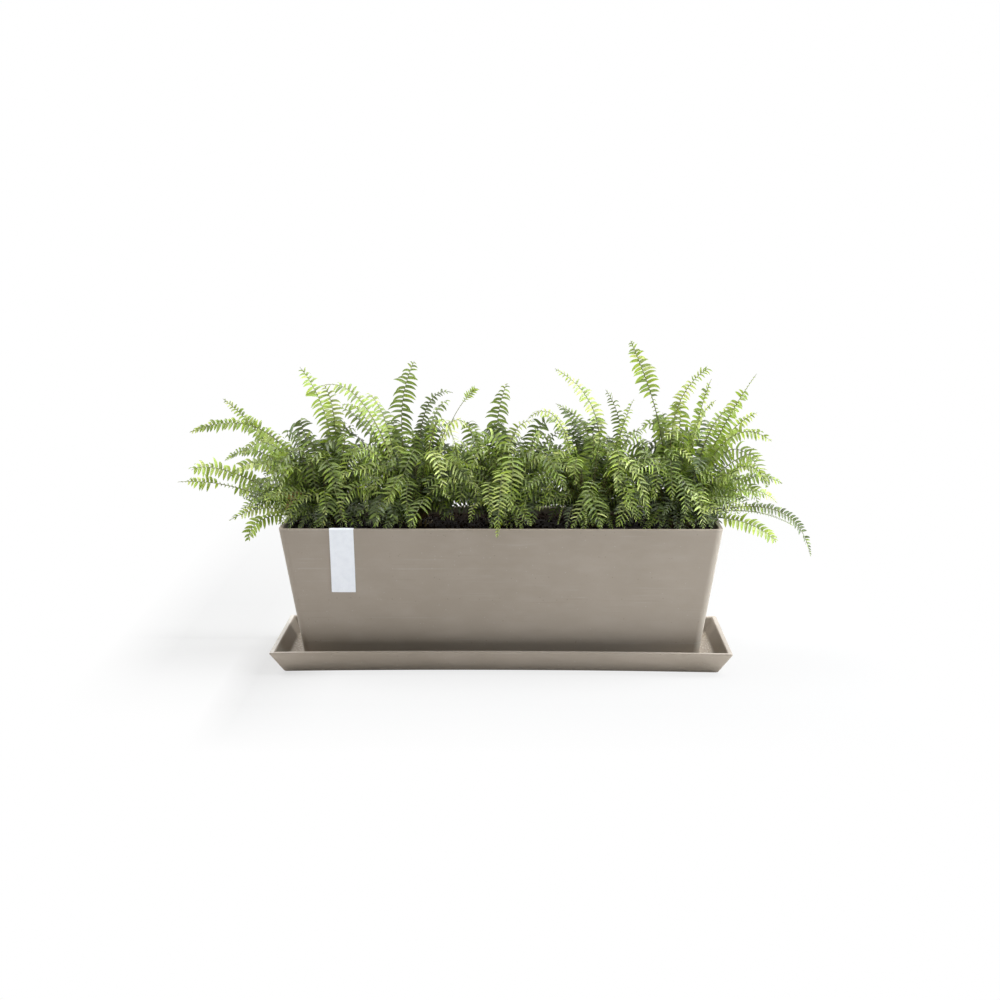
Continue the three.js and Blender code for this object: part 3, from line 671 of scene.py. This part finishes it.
def build_root_ball(n, material):
    bottom = ROOTS[n][0][2]
    rng = np.random.default_rng(40 + n)
    phases = rng.uniform(0, RANDOM_TURN, 6)
    angles = np.arange(48) * FULL_TURN / 48
    profile = [(share, ROOT_RADIUS_LOW + (ROOT_RADIUS_TOP - ROOT_RADIUS_LOW) * share)
               for share in np.linspace(0, 1, 16)]
    rings = []
    for share, radius in [(0.0, 8.0), (0.0, 26.0), *profile, (1.006, 50.0), (1.012, 34.0), (1.016, 14.0)]:
        wave = sum(np.sin(angles * (3 + 2 * k) + phases[k] + share * 9 * (k + 1)) / (k + 1.5) for k in range(6))
        r = np.minimum(radius, radius - 0.9 + 0.5 * wave)
        ripple = 0.3 * np.sin(angles * 7 + phases[0]) * (share > 0.99)
        z = bottom + (SOIL_LEVEL - ROOT_DEPTH - bottom) * share + ripple
        rings.append(np.stack([PLANT_X[n] + r * np.cos(angles), r * np.sin(angles), z], 1))
    make_piece(f"roots_{n + 1}", *loft(rings), material, "trough", "roots", [f"root_ball_{n + 1}"], smooth_angle=60)


# Ferns: where each frond is bent to along the trough, and how high, its tip along, across and up, the half width
# of its blade and the blade's turn in degrees, in millimetres from the middle of the crown, and its tone.
FRONDS = [
    [(-190, 90, -272, -20, 80, 17, 54, YOUNG), (-75, 244, -250, 0, 169, 18, 54, FRESH),
     (-85, 144, -194, 40, 226, 15, 54, FRESH), (-200, 135, -238, -50, 108, 20, 54, YOUNG),
     (-95, 54, -175, -40, 12, 15, 46, LIGHT), (-133, 40, -138, -62, -20, 20, 46, YOUNG),
     (-95, 70, -161, 24, 40, 14, 46, MIDDLE), (-115, 184, -200, 60, 105, 15, 46, MIDDLE),
     (42, 172, -52, 60, 283, 28, 0, FRESH), (36, 205, -5, 40, 252, 20, 0, LIGHT),
     (-20, 230, 42, -82, 22, 22, 0, MIDDLE), (-60, 190, -78, -80, 60, 20, 0, FRESH),
     (-110, 170, -166, -45, 96, 19, 46, LIGHT), (62, 190, 96, -40, 108, 19, 30, MIDDLE),
     (-90, 210, -150, -20, 130, 18, 46, FRESH), (-70, 130, -150, -60, 62, 17, 46, MIDDLE),
     (-40, 96, -64, -72, 38, 12, 40, WITHERED),
     (-30, 90, -58, -80, 4, 17, 0, MIDDLE), (-50, 100, -66, -52, 8, 17, 20, DARK),
     (30, 160, 68, -60, 143, 9, 50, YOUNG)],
    [(-70, 285, -169, 20, 253, 22, 30, FRESH), (-80, 235, -130, 30, 216, 20, 20, FRESH),
     (-46, 193, 0, 60, 294, 25, 0, MIDDLE), (-5, 264, 72, 50, 236, 14, 30, DARK),
     (45, 174, 114, 40, 246, 4, 70, YOUNG), (22, 150, 137, -40, 108, 15, 45, YOUNG),
     (5, 170, -49, -85, 40, 21, 0, FRESH), (30, 240, 62, -84, 70, 21, 0, LIGHT),
     (-8, 160, -6, -92, 34, 18, 0, MIDDLE), (44, 330, 92, -50, 107, 20, 0, LIGHT),
     (-100, 222, -78, -70, 35, 20, 0, FRESH), (35, 110, 70, -70, 60, 16, 30, MIDDLE),
     (-120, 50, -157, -60, 141, 22, 0, DARK), (-63, 112, -60, -100, 16, 26, 0, DARK),
     (50, 110, 0, -105, 16, 22, 0, MIDDLE), (80, 140, 120, 0, 169, 8, 30, MIDDLE),
     (50, 110, 106, -26, 40, 17, 20, DARK), (60, 120, 128, 32, 52, 17, 0, DEEP),
     (30, 130, 84, 34, 66, 18, 0, DARK),
     (-44, 210, -86, 46, 236, 23, 5, FRESH), (-70, 195, -138, 30, 212, 23, 10, MIDDLE),
     (-70, 150, -126, 20, 172, 23, 0, DARK), (62, 285, 118, 30, 140, 23, 10, LIGHT),
     (20, 215, 62, 50, 222, 22, 0, MIDDLE)],
    [(-30, 150, 10, 70, 251, 24, 0, MIDDLE), (0, 206, 62, 10, 188, 15, 40, LIGHT),
     (10, 215, -5, -120, -2, 19, 0, LIGHT), (-52, 205, -92, -34, 128, 18, 30, FRESH),
     (44, 150, 88, -46, 126, 18, 30, LIGHT), (-40, 200, -60, 20, 178, 13, 30, MIDDLE),
     (60, 140, 112, 20, 172, 15, 40, DARK), (34, 238, 16, -88, 40, 24, 0, FRESH),
     (-25, 150, -18, -95, 31, 16, 0, LIGHT), (-40, 95, -55, -80, 18, 14, 0, LIGHT),
     (-60, 110, -104, -24, 42, 17, 20, DARK), (-50, 120, -84, 36, 54, 17, 0, DEEP),
     (56, 110, 98, -24, 38, 17, 10, DARK), (50, 120, 82, 34, 54, 17, 0, DEEP)],
    [(70, 215, -63, 30, 283, 19, 30, LIGHT), (-40, 264, -112, -10, 196, 15, 35, LIGHT),
     (45, 175, -61, 54, 215, 16, 35, MIDDLE), (100, 150, 32, 66, 240, 17, 0, MIDDLE),
     (52, 164, 84, 50, 224, 17, 0, FRESH), (63, 245, 104, -85, 24, 24, 0, LIGHT),
     (40, 200, 82, -85, 20, 22, 0, FRESH), (-13, 125, 17, -95, 15, 26, 0, MIDDLE),
     (-84, 188, -125, -80, 31, 20, 0, MIDDLE), (-45, 205, -67, -60, 110, 19, 0, YOUNG),
     (-30, 205, -27, -75, 85, 19, 0, FRESH), (-30, 130, -58, -70, 12, 3, 0, LIGHT),
     (-60, 170, -96, 0, 168, 16, 30, MIDDLE), (60, 190, 104, 10, 172, 20, 20, MIDDLE),
     (-12, 110, -8, -92, 18, 3, 0, LIGHT), (-40, 200, -82, 30, 196, 22, 10, MIDDLE),
     (-16, 190, -46, 50, 206, 22, 0, DARK)],
    [(-20, 194, -86, 40, 333, 21, 55, FRESH), (-50, 220, 55, 30, 283, 17, 30, LIGHT),
     (20, 174, 56, -20, 270, 17, 50, FRESH), (15, 204, 62, -46, 235, 14, 45, LIGHT),
     (75, 184, 140, 0, 277, 17, 50, FRESH), (85, 184, 148, 32, 201, 15, 50, LIGHT),
     (80, 228, 166, -30, 158, 18, 55, YOUNG), (75, 90, 147, -20, 130, 15, 50, LIGHT),
     (115, 150, 147, -52, 101, 15, 50, LIGHT), (105, 118, 195, 4, 74, 16, 50, MIDDLE),
     (135, 98, 193, 44, 28, 15, 45, FRESH), (215, 84, 247, -22, -58, 13, 50, DARK),
     (124, 30, 178, -52, -24, 20, 45, YOUNG), (2, 170, 8, -86, 34, 20, 0, MIDDLE),
     (-30, 200, -48, -80, 60, 20, 0, FRESH), (-15, 140, -25, 40, 200, 25, 0, DARK),
     (-52, 232, 45, -50, 92, 15, 0, LIGHT), (130, 50, 208, -45, 5, 6, 30, MIDDLE),
     (30, 90, 56, -80, 4, 17, 0, DARK), (50, 100, 64, -52, 8, 17, 20, MIDDLE),
     (-60, 190, -92, -10, 165, 20, 20, MIDDLE), (60, 240, 110, 10, 205, 17, 30, FRESH),
     (8, 200, 5, 24, 226, 23, 10, FRESH)],
]
# Fans that fill each plant: bearings, count, reach, height of the arch and of the tips, how much these vary,
# half width, tone.
# The DEEP and DARK tones of the back, side and low fans are partly painted shade.
FANS = [(30, 150, 8, 75, 200, 150, 0.20, 20, DARK), (15, 165, 8, 110, 165, 100, 0.25, 19, DEEP),
        (-35, 35, 7, 116, 150, 100, 0.30, 18, MIDDLE), (145, 215, 7, 116, 150, 100, 0.30, 18, MIDDLE),
        (-40, 25, 5, 118, 90, 40, 0.30, 17, DARK), (155, 220, 5, 118, 90, 40, 0.30, 17, DARK),
        (-158, -22, 7, 92, 190, 44, 0.80, 21, FRESH), (-166, -14, 8, 88, 130, 34, 0.80, 18, MIDDLE),
        (-165, -15, 9, 84, 100, 6, 0.30, 17, DARK), (-150, -30, 5, 62, 200, 135, 0.25, 20, MIDDLE),
        (8, 352, 12, 92, 66, 26, 0.30, 15, DEEP)]
END_FAN = (66, 18, 112, 84, 44, 0.42, 18, FRESH)  # the same for the end plants' outer side, to each side of the axis
BARE_SOIL = [(-150, -22), (62, 116)]  # where the soil along the front wall lies open, along the trough
STALK_SHARE = 0.1
FRONT_REACH = -86  # furthest that the filling fronds reach to the front
FACING_TURN = 44  # degrees, above which a blade faces the front
# By plant and frond: half width of a tip that is a young knot of leaflets.
TIP_TUFTS = {(0, 19): 12, (1, 1): 11, (1, 4): 10, (4, 1): 13, (4, 8): 12}
# Shares of these fronds' length between which their blade lies; the rest of them has few leaflets or none.
KNOTS = {(4, 0): (0.65, 1.0), (0, 0): (0.62, 0.90), (1, 4): (0.84, 1.0)}
# Share of these fronds' length beyond which the leaflets are tiny.
THIN_TIPS = {(4, 4): 0.84, (4, 2): 0.94, (0, 8): 0.97, (0, 4): 0.94, (1, 0): 0.84}
# A leaflet: shares of its length, and how far it reaches there ahead of and behind its midrib, in half widths.
PINNA_ROWS = np.array([0, 0.07, 0.20, 0.38, 0.56, 0.74, 0.90])
PINNA_FRONT = np.array([0.42, 1.18, 1.0, 0.94, 0.84, 0.62, 0.26])
PINNA_BACK = np.array([0.30, 0.78, 0.88, 0.86, 0.76, 0.54, 0.22])


def spread(t, half, turn):
    """Half width of a frond at a share t of its length, as a share of its own; a broad frond has a blunter tip."""
    s = np.clip((t - STALK_SHARE) / (1 - STALK_SHARE), 0, 1)
    blunt = 2.1 + 0.13 * min(max(half - 12, 0), 12) + 0.9 * (turn > FACING_TURN)
    return np.minimum(1, s / 0.3) ** 0.7 * (1 - np.clip((s - 0.42) / 0.58, 0, 1) ** blunt) ** 0.64


def route(row, t, sway):
    """Place, way ahead, side and up of a frond at shares t of its length."""
    bend_x, bend_z, x, y, z, _, turn = row[:7]
    heading = np.array([x, y]) / math.hypot(x, y)
    start = np.array([heading[0] * 14, heading[1] * 14, 6])
    bend = np.array([bend_x, y * 0.45, bend_z])
    tip = np.array([x, y, z])
    t = np.atleast_1d(t)[:, None]
    place = (1 - t) ** 2 * start + 2 * t * (1 - t) * bend + t * t * tip
    ahead = unit(2 * (1 - t) * (bend - start) + 2 * t * (tip - bend))
    level = np.array([-heading[1], heading[0], 0.0])
    side = unit(level - (ahead @ level)[:, None] * ahead)
    lean = math.radians(turn) * (1 if x >= 0 else -1)
    side = side * math.cos(lean) + np.cross(ahead, side) * math.sin(lean)
    up = np.cross(ahead, side)
    place = place + side * (sway[0] * np.sin(t * sway[1] + sway[2]) * t * (1 - t) * 4)
    return place, ahead, side, up


class Foliage:
    """Gathers the points, faces and tile places of one plant."""

    def __init__(self):
        self.points, self.uvs, self.quads, self.triangles, self.count = [], [], [], [], 0

    def add(self, points, uvs, quads, triangles=()):
        self.points.append(points.reshape(-1, 3))
        self.uvs.append(uvs.reshape(-1, 2))
        self.quads.append(quads + self.count)
        if len(triangles):
            self.triangles.append(triangles + self.count)
        self.count += points.size // 3

    def faces(self):
        return np.concatenate(self.quads).tolist() + np.concatenate(self.triangles).tolist()


def tile_place(tone, variation, across, along):
    """Place on the tiles of a spot inside a tile, which stays off the tile's border."""
    u = (variation + 0.06 + 0.88 * across) / TILES
    v = (tone + 0.04 + 0.92 * along) / TILES
    return np.stack(np.broadcast_arrays(u, v), -1)


def add_tube(plant, points, angles, rng, along):
    """A tube on rings of points that start again where they end, so that its tile closes round it."""
    steps, wide = points.shape[0] - 1, points.shape[1]
    uvs = tile_place(STALK, int(rng.integers(0, TILES)), angles / FULL_TURN, along[:, None])
    a = (np.arange(steps)[:, None] * wide + np.arange(wide - 1)[None, :]).ravel()
    plant.add(points, uvs, np.stack([a, a + 1, a + wide + 1, a + wide], 1))


def add_stalk(plant, row, sway, rng, thick):
    t = np.linspace(0, 1, 19)
    place, _, side, up = route(row, t, sway)
    angles = np.arange(6) * FULL_TURN / 5
    ring = side[:, None] * np.cos(angles)[:, None] + up[:, None] * np.sin(angles)[:, None]
    radius = thick * (1 - 0.72 * t)[:, None, None]
    add_tube(plant, place[:, None] + ring * radius, angles, rng, t)


def in_the_way(points):
    """Tells which points lie in the tag's path off the rim, or in the trough's wall."""
    x, y, z = np.moveaxis(points, -1, 0)
    in_path = (x > TAG_LOW[0] - 2.5) & (x < TAG_HIGH[0] + 2.5) & (y > TAG_LOW[1] - 2.5)
    in_path &= (y < TAG_HIGH[1] + 3.5) & (z < TAG_HIGH[2] + TAG_PATH)
    x, y, lean = np.abs(x), np.abs(y), (RIM_LEVEL - z) * POT_TAPER
    in_wall = ((x > POT_HIGH[0] - 10) | (y > POT_HIGH[1] - 10)) & (z < RIM_LEVEL + 0.5)
    in_wall &= (x < POT_HIGH[0] + 1 - lean) & (y < POT_HIGH[1] + 1 - lean)
    return in_path | in_wall


def add_pinnae(plant, t, sign, row, sway, length, width, tone, rng, gravity, twist, world):
    """Leaflets at shares t of a frond, on the side given by the sign of each."""
    m = len(t)
    pick = slice(None, None, 1 if row[5] >= 13 else 2)
    stations, fronts, backs = PINNA_ROWS[pick], PINNA_FRONT[pick], PINNA_BACK[pick]
    place, ahead, side, up = route(row, t, sway)
    outward = side * sign[:, None]
    hanging = np.clip(-ahead[:, 2], 0, 1)
    angle = np.interp(t, [0, 0.5, 0.85, 1.0], [86, 79, 66, 38]) + 13 * hanging * (t < 0.9)
    angle = np.radians(angle + rng.normal(0, 5.0, m))
    first = outward * np.sin(angle)[:, None] + ahead * np.cos(angle)[:, None]
    first = unit(first + up * rng.normal(0.24, 0.10, m)[:, None])
    pull = (gravity * rng.uniform(0.6, 1.45, m) * (1 - 0.8 * hanging))[:, None]
    curl = (rng.uniform(0.08, 0.30, m) + 0.26 * hanging)[:, None]
    down = np.array([0, 0, -1.0])
    rows = np.append(stations, 1.0)
    way = [unit(first + down * pull * f + ahead * curl * f) for f in rows]
    spots = [place]
    for k in range(1, len(rows)):
        spots.append(spots[-1] + (way[k] + way[k - 1]) / 2 * (rows[k] - rows[k - 1]) * length[:, None])
    turn = (twist * sign + rng.normal(0, 0.16, m))[:, None]
    columns = []
    half = (width / 2)[:, None]
    for k in range(len(stations)):
        across = unit(ahead - np.sum(ahead * way[k], 1, keepdims=True) * way[k])
        normal = unit(np.cross(way[k], across)) * sign[:, None]
        across = across * np.cos(turn) + normal * np.sin(turn)
        normal = unit(np.cross(way[k], across)) * sign[:, None]
        sunk = normal * half * 0.20 * fronts[k]
        columns.append(np.stack([spots[k] + across * half * fronts[k] - sunk, spots[k] + normal * half * 0.10,
                                 spots[k] - across * half * backs[k] - sunk], 1))
    body = np.stack(columns, 1)
    points = np.concatenate([body.reshape(m, -1, 3), spots[-1][:, None]], 1)
    keep = ~in_the_way(points + world).any(1)
    points, tone = points[keep], tone[keep]
    m = len(points)
    if not m:
        return
    variation = rng.integers(0, TILES, m)[:, None, None]
    across = np.array([1.0, 0.5, 0.0])
    body_uv = tile_place(tone[:, None, None], variation, across, stations[:, None]).reshape(m, -1, 2)
    tip_uv = tile_place(tone[:, None], variation[:, :, 0], 0.5, 1.0)
    uvs = np.concatenate([body_uv, tip_uv], 1)
    k = np.arange(len(stations) - 1)[:, None] * 3 + np.arange(2)[None, :]
    quad = np.stack([k, k + 1, k + 4, k + 3], -1).reshape(-1, 4)
    last = (len(stations) - 1) * 3
    triangle = np.array([[last, last + 1, last + 3], [last + 1, last + 2, last + 3]])
    start = (np.arange(m) * points.shape[1])[:, None, None]
    plant.add(points, uvs, (quad + start).reshape(-1, 4), (triangle + start).reshape(-1, 3))


def add_frond(plant, row, tone, rng, world, tuft=0, knot=None, thin=1.0):
    """A frond on its row of the table, or of a fan when the row ends without a tone."""
    x, y, z, half, turn = row[2:7]
    sway = (rng.uniform(-2.5, 2.5), rng.uniform(3, 8), rng.uniform(0, 6))
    shares = np.linspace(0, 1, 60)
    steps = np.linalg.norm(np.diff(route(row, shares, sway)[0], axis=0), axis=1)
    reach = np.concatenate([[0], np.cumsum(steps)])
    length = reach[-1]
    add_stalk(plant, row, sway, rng, 0.75 + 0.0022 * length)
    facing = turn > FACING_TURN and len(row) > 7
    pitch = np.clip(4.2 + 0.19 * half, 5.0, 8.8)
    places, at = [], length * (knot[0] if knot and half < 6 else STALK_SHARE)
    while at < length * 0.985:
        share = np.interp(at, reach, shares)
        places.append(share)
        at += pitch * (0.42 + 0.58 * spread(share, half, turn) ** 0.7)
    places = np.array(places)
    both = np.concatenate([places, np.clip(places + 0.5 * pitch / length * 0.8, 0, 0.99)])
    sign = np.concatenate([np.ones(len(places)), -np.ones(len(places))])
    keep = rng.uniform(size=len(both)) > 0.025
    both, sign = both[keep], sign[keep]
    size = np.maximum(half * spread(both, half, turn), 3.0)
    if knot:
        beyond = np.clip((both - knot[0]) / (knot[1] - knot[0]), 0, 1)
        bare = np.where(both < knot[0] - 0.12, 0.85, 0.3)
        size = np.where(both < knot[0], size * bare, half * np.abs(np.sin(math.pi * beyond ** 0.65)) ** 0.7 + 2.2)
    if tuft:
        size = np.where(both > 0.88, np.maximum(size, tuft), size)
    size = np.where(both > thin, 2.6, size)
    leaf_length = size * 1.04 * rng.normal(1, 0.09, len(both))
    slim = 0.38 if knot else 0.42 if facing else 0.34 if tone <= DARK else 0.28
    if y < -20 and half >= 15 and not facing and tone > DARK:
        leaf_length, slim = leaf_length * 1.08, 0.18
    leaf_width = np.clip(leaf_length * slim, 1.9, None) * rng.normal(1, 0.08, len(both))
    leaf_width = np.minimum(leaf_width, pitch * (slim + 0.42))
    # Painted shade: leaflets low and near the middle of the plant take a tone darker.
    deep_inside = (np.hypot(x, y) * both < 45) & (z * both < 65)
    tones = tone + rng.choice([-1, 0, 0, 0, 0, 1], len(both)) * (rng.uniform(size=len(both)) < 0.45)
    tones = tones - deep_inside + (both > 0.88) * (rng.uniform(size=len(both)) < 0.6)
    tones = np.clip(tones, DEEP, YOUNG).astype(int)
    if tuft:
        tones = np.where(both > 0.85, YOUNG, tones)
    if tone == WITHERED:
        tones[:] = WITHERED
    gravity = 0.50 + half / 24 * rng.uniform(0.7, 1.3)
    twist = rng.uniform(-0.45, 0.1)
    add_pinnae(plant, both, sign, row, sway, leaf_length, leaf_width, tones, rng, gravity, twist, world)


def add_crown(plant, rng):
    """Short scaly stubs of old stalks round the middle of the plant."""
    for _ in range(STUB_COUNT):
        bearing, distance = rng.uniform(0, RANDOM_TURN), rng.uniform(0, 30)
        height = rng.uniform(7, 20) * (1.1 - distance / 45)
        lean = distance / 30 * rng.uniform(0.2, 0.9)
        way = np.array([math.cos(bearing), math.sin(bearing)])
        radius = rng.uniform(1.2, 2.6)
        angles = np.arange(6) * FULL_TURN / 5
        flat = np.stack([np.cos(angles), np.sin(angles), np.zeros(6)], 1)
        levels = np.array([0, 0.5, 0.9, 1.0])
        widths = radius * np.array([1.25, 1.0, 0.75, 0.25])
        rise = np.array([*way * lean, 1]) * height * levels[:, None, None]
        add_tube(plant, np.array([*way * distance, -5.0]) + rise + flat * widths[:, None, None], angles, rng,
                 levels * 0.25)


def over_bare_soil(n, x):
    return any(low < PLANT_X[n] + x < high for low, high in BARE_SOIL)


def fan_rows(n):
    rows, fans = [], list(FANS)
    if n in (0, PLANT_COUNT - 1):
        outward = 180 if n == 0 else 0
        fans.append((outward - END_FAN[0], outward + END_FAN[0], *END_FAN[1:]))
    for start, end, count, reach, arch, tip, swing, half, tone in fans:
        for i in range(count):
            bearing = math.radians(start + (end - start) * i / (count - 1) + 8 * math.sin(7.3 * i + 2.1 * n))
            far = reach * (1 + swing * math.sin(2.4 * i + 1.7 * n + start))
            vary = 1 + swing * math.cos(1.9 * i + 2.6 * n + end + count)
            x, y = far * math.cos(bearing), far * math.sin(bearing)
            height = tip * vary
            if y < 0:
                y = max(y, FRONT_REACH)
            if y < -30 and over_bare_soil(n, x):
                y, height = -56, max(height, 64 + 22 * math.sin(4.1 * i))
            turn = 60 * abs(math.cos(bearing)) ** 1.5 + 16 * math.sin(5.3 * i + 3.7 * n)
            aside = x * 0.45 + 46 * math.sin(3.1 * i + 1.3 * n + reach)
            rows.append(((aside, arch * (0.6 + 0.4 * vary), x, y, height, half, turn), tone))
    return rows


def low_rows(n, rng):
    """Small fronds low in the plant, that close it near the soil, and a row of them along the front wall."""
    rows = []
    # Their DEEP and DARK tones are partly painted shade, low in the plant.
    for i in range(LOW_FRONDS):
        bearing = FULL_TURN * (i + rng.uniform(-0.4, 0.4)) / LOW_FRONDS
        reach, rise = rng.uniform(48, 86), rng.uniform(20, 105)
        x, y = reach * math.cos(bearing), reach * math.sin(bearing)
        rows.append(((x * 0.4, rise * 1.35 + 14, x, y, rise, rng.uniform(9, 15), rng.uniform(-20, 20)),
                     int(rng.choice([DEEP, DARK, DARK, MIDDLE]))))
    for i in range(FRONT_FRONDS):
        x, y = 78 * (2 * (i + rng.uniform(0, 1)) / FRONT_FRONDS - 1), rng.uniform(FRONT_REACH, -70)
        rows.append(((x * 0.6, rng.uniform(28, 80), x, y, rng.uniform(-2, 14), rng.uniform(10, 16),
                      rng.uniform(-20, 20)), int(rng.choice([DEEP, DARK, MIDDLE]))))
    return [row for row in rows if row[0][3] > -44 or not over_bare_soil(n, row[0][2])]


def build_fern(n, material):
    rng = np.random.default_rng(100 + n)
    plant = Foliage()
    world = np.array([PLANT_X[n], 0.0, CROWN_LEVEL])
    for i, row in enumerate(FRONDS[n]):
        one = (n, i)
        add_frond(plant, row, row[7], rng, world, TIP_TUFTS.get(one, 0), KNOTS.get(one), THIN_TIPS.get(one, 1.0))
    for row, tone in fan_rows(n) + low_rows(n, rng):
        tone = min(max(tone + int(rng.choice([-1, 0, 0, 0, 1, 1])), DEEP), YOUNG)
        add_frond(plant, row, tone, rng, world)
    add_crown(plant, rng)
    points = np.concatenate(plant.points) + world
    make_piece(f"fern_fronds_{n + 1}", points, plant.faces(), material, "trough", "leaves", [f"fern_{n + 1}"],
               np.concatenate(plant.uvs))


# Stage and light
def build_stage():
    """A pale floor that fades to white away from the object, as in the photograph."""
    corners = [(-FLOOR_HALF, -FLOOR_HALF, 0), (FLOOR_HALF, -FLOOR_HALF, 0),
               (FLOOR_HALF, FLOOR_HALF, 0), (-FLOOR_HALF, FLOOR_HALF, 0)]
    floor = put_mesh("floor", corners, [(0, 1, 2, 3)])
    p = Paint("pale_floor")
    across, back, _ = p.axes(p.place())
    # Painted shadow over the real one: near the object, and most on its left, the camera sees the floor as a darker
    # matte; further out it sees white.
    shaded = p.between(across, -0.50, -0.30, 0.52, 0.20)
    shaded = p.times(shaded, p.between(p.math("ABSOLUTE", across), 0.63, 0.76, 1.0, 0.0))
    shaded = p.times(shaded, p.between(back, -0.50, -0.28))
    shaded = p.times(shaded, p.between(back, 0.35, 1.4, 1.0, 0.0))
    left_front = p.math("SQRT", p.between(back, -0.36, 0.10, 1.0, 0.0))
    left_front = p.times(left_front, p.between(across, -0.50, -0.44, 1.0, 0.0))
    shaded = p.times(shaded, p.math("SUBTRACT", 1.0, left_front))
    camera_ray = p.node("ShaderNodeLightPath").outputs["Is Camera Ray"]
    tint = p.mix(camera_ray, (0.90, 0.90, 0.90, 1), (0.45, 0.45, 0.45, 1))
    matte = p.node("ShaderNodeBsdfDiffuse", {"Color": tint})
    white = p.node("ShaderNodeEmission", {"Color": (1, 1, 1, 1), "Strength": 1.0})
    seen = p.times(camera_ray, p.math("SUBTRACT", 1.0, shaded))
    floor.data.materials.append(p.finish(p.blend(seen, matte.outputs[0], white.outputs[0])))


def build_world():
    """A white room that lights little, but shows white to the camera and in reflections."""
    world = bpy.data.worlds.new("studio")
    bpy.context.scene.world = world
    p = Paint("studio", world)
    rays = p.node("ShaderNodeLightPath").outputs
    seen = p.math("MAXIMUM", rays["Is Camera Ray"], rays["Is Glossy Ray"])
    room, white = (p.node("ShaderNodeBackground", {"Color": (1, 1, 1, 1), "Strength": strength}).outputs[0]
                   for strength in (0.06, 1.0))
    p.finish(p.blend(seen, room, white), "ShaderNodeOutputWorld")


def add_lamp(name, place, target, size, power, tint=(1, 1, 1)):
    data = bpy.data.lights.new(name, "AREA")
    data.color = tint
    data.shape = "RECTANGLE"
    data.size, data.size_y = size
    data.energy = power
    lamp = put(name, data)
    lamp.location = place
    lamp.rotation_euler = (Vector(target) - Vector(place)).to_track_quat("-Z", "Y").to_euler()


bpy.context.scene.view_settings.view_transform = "Standard"
build_stage()
build_world()
add_lamp("top", (0.0, 0.3, 2.4), (0, 0, 0.2), (1.0, 2.4), 15)
add_lamp("high_right", (1.7, 0.26, 2.1), (0.2, 0, 0.2), (1.2, 1.6), 86)
add_lamp("high_left", (-1.7, 0.40, 2.1), (-0.2, 0, 0.2), (1.2, 1.6), 49)
add_lamp("low_right", (2.4, 0.06, 0.7), (0.2, 0, 0.2), (1.2, 1.2), 36, (0.82, 0.92, 1.0))
add_lamp("right_front", (2.4, -0.95, 0.6), (0.3, 0, 0.2), (0.6, 1.2), 14, (0.78, 0.90, 1.0))
add_lamp("low_left", (-2.4, 1.1, 0.7), (-0.2, 0, 0.2), (1.2, 1.2), 9)
add_lamp("front", (0.4, -1.6, 1.4), (0.1, 0, 0.2), (0.8, 0.6), 6.5)
add_lamp("back", (0.0, 2.3, 1.4), (0, 0, 0.3), (3.2, 1.4), 24)

build_saucer(plastic_paint("saucer_plastic", saucer_marks_and_painted_light))
build_trough(plastic_paint("trough_plastic", trough_painted_shade))
build_tag(card_paint())
build_soil(soil_paint(), crumb_paint())
root_material = root_paint()
leaf_material = leaf_paint()
for number in range(PLANT_COUNT):
    build_root_ball(number, root_material)
    build_fern(number, leaf_material)
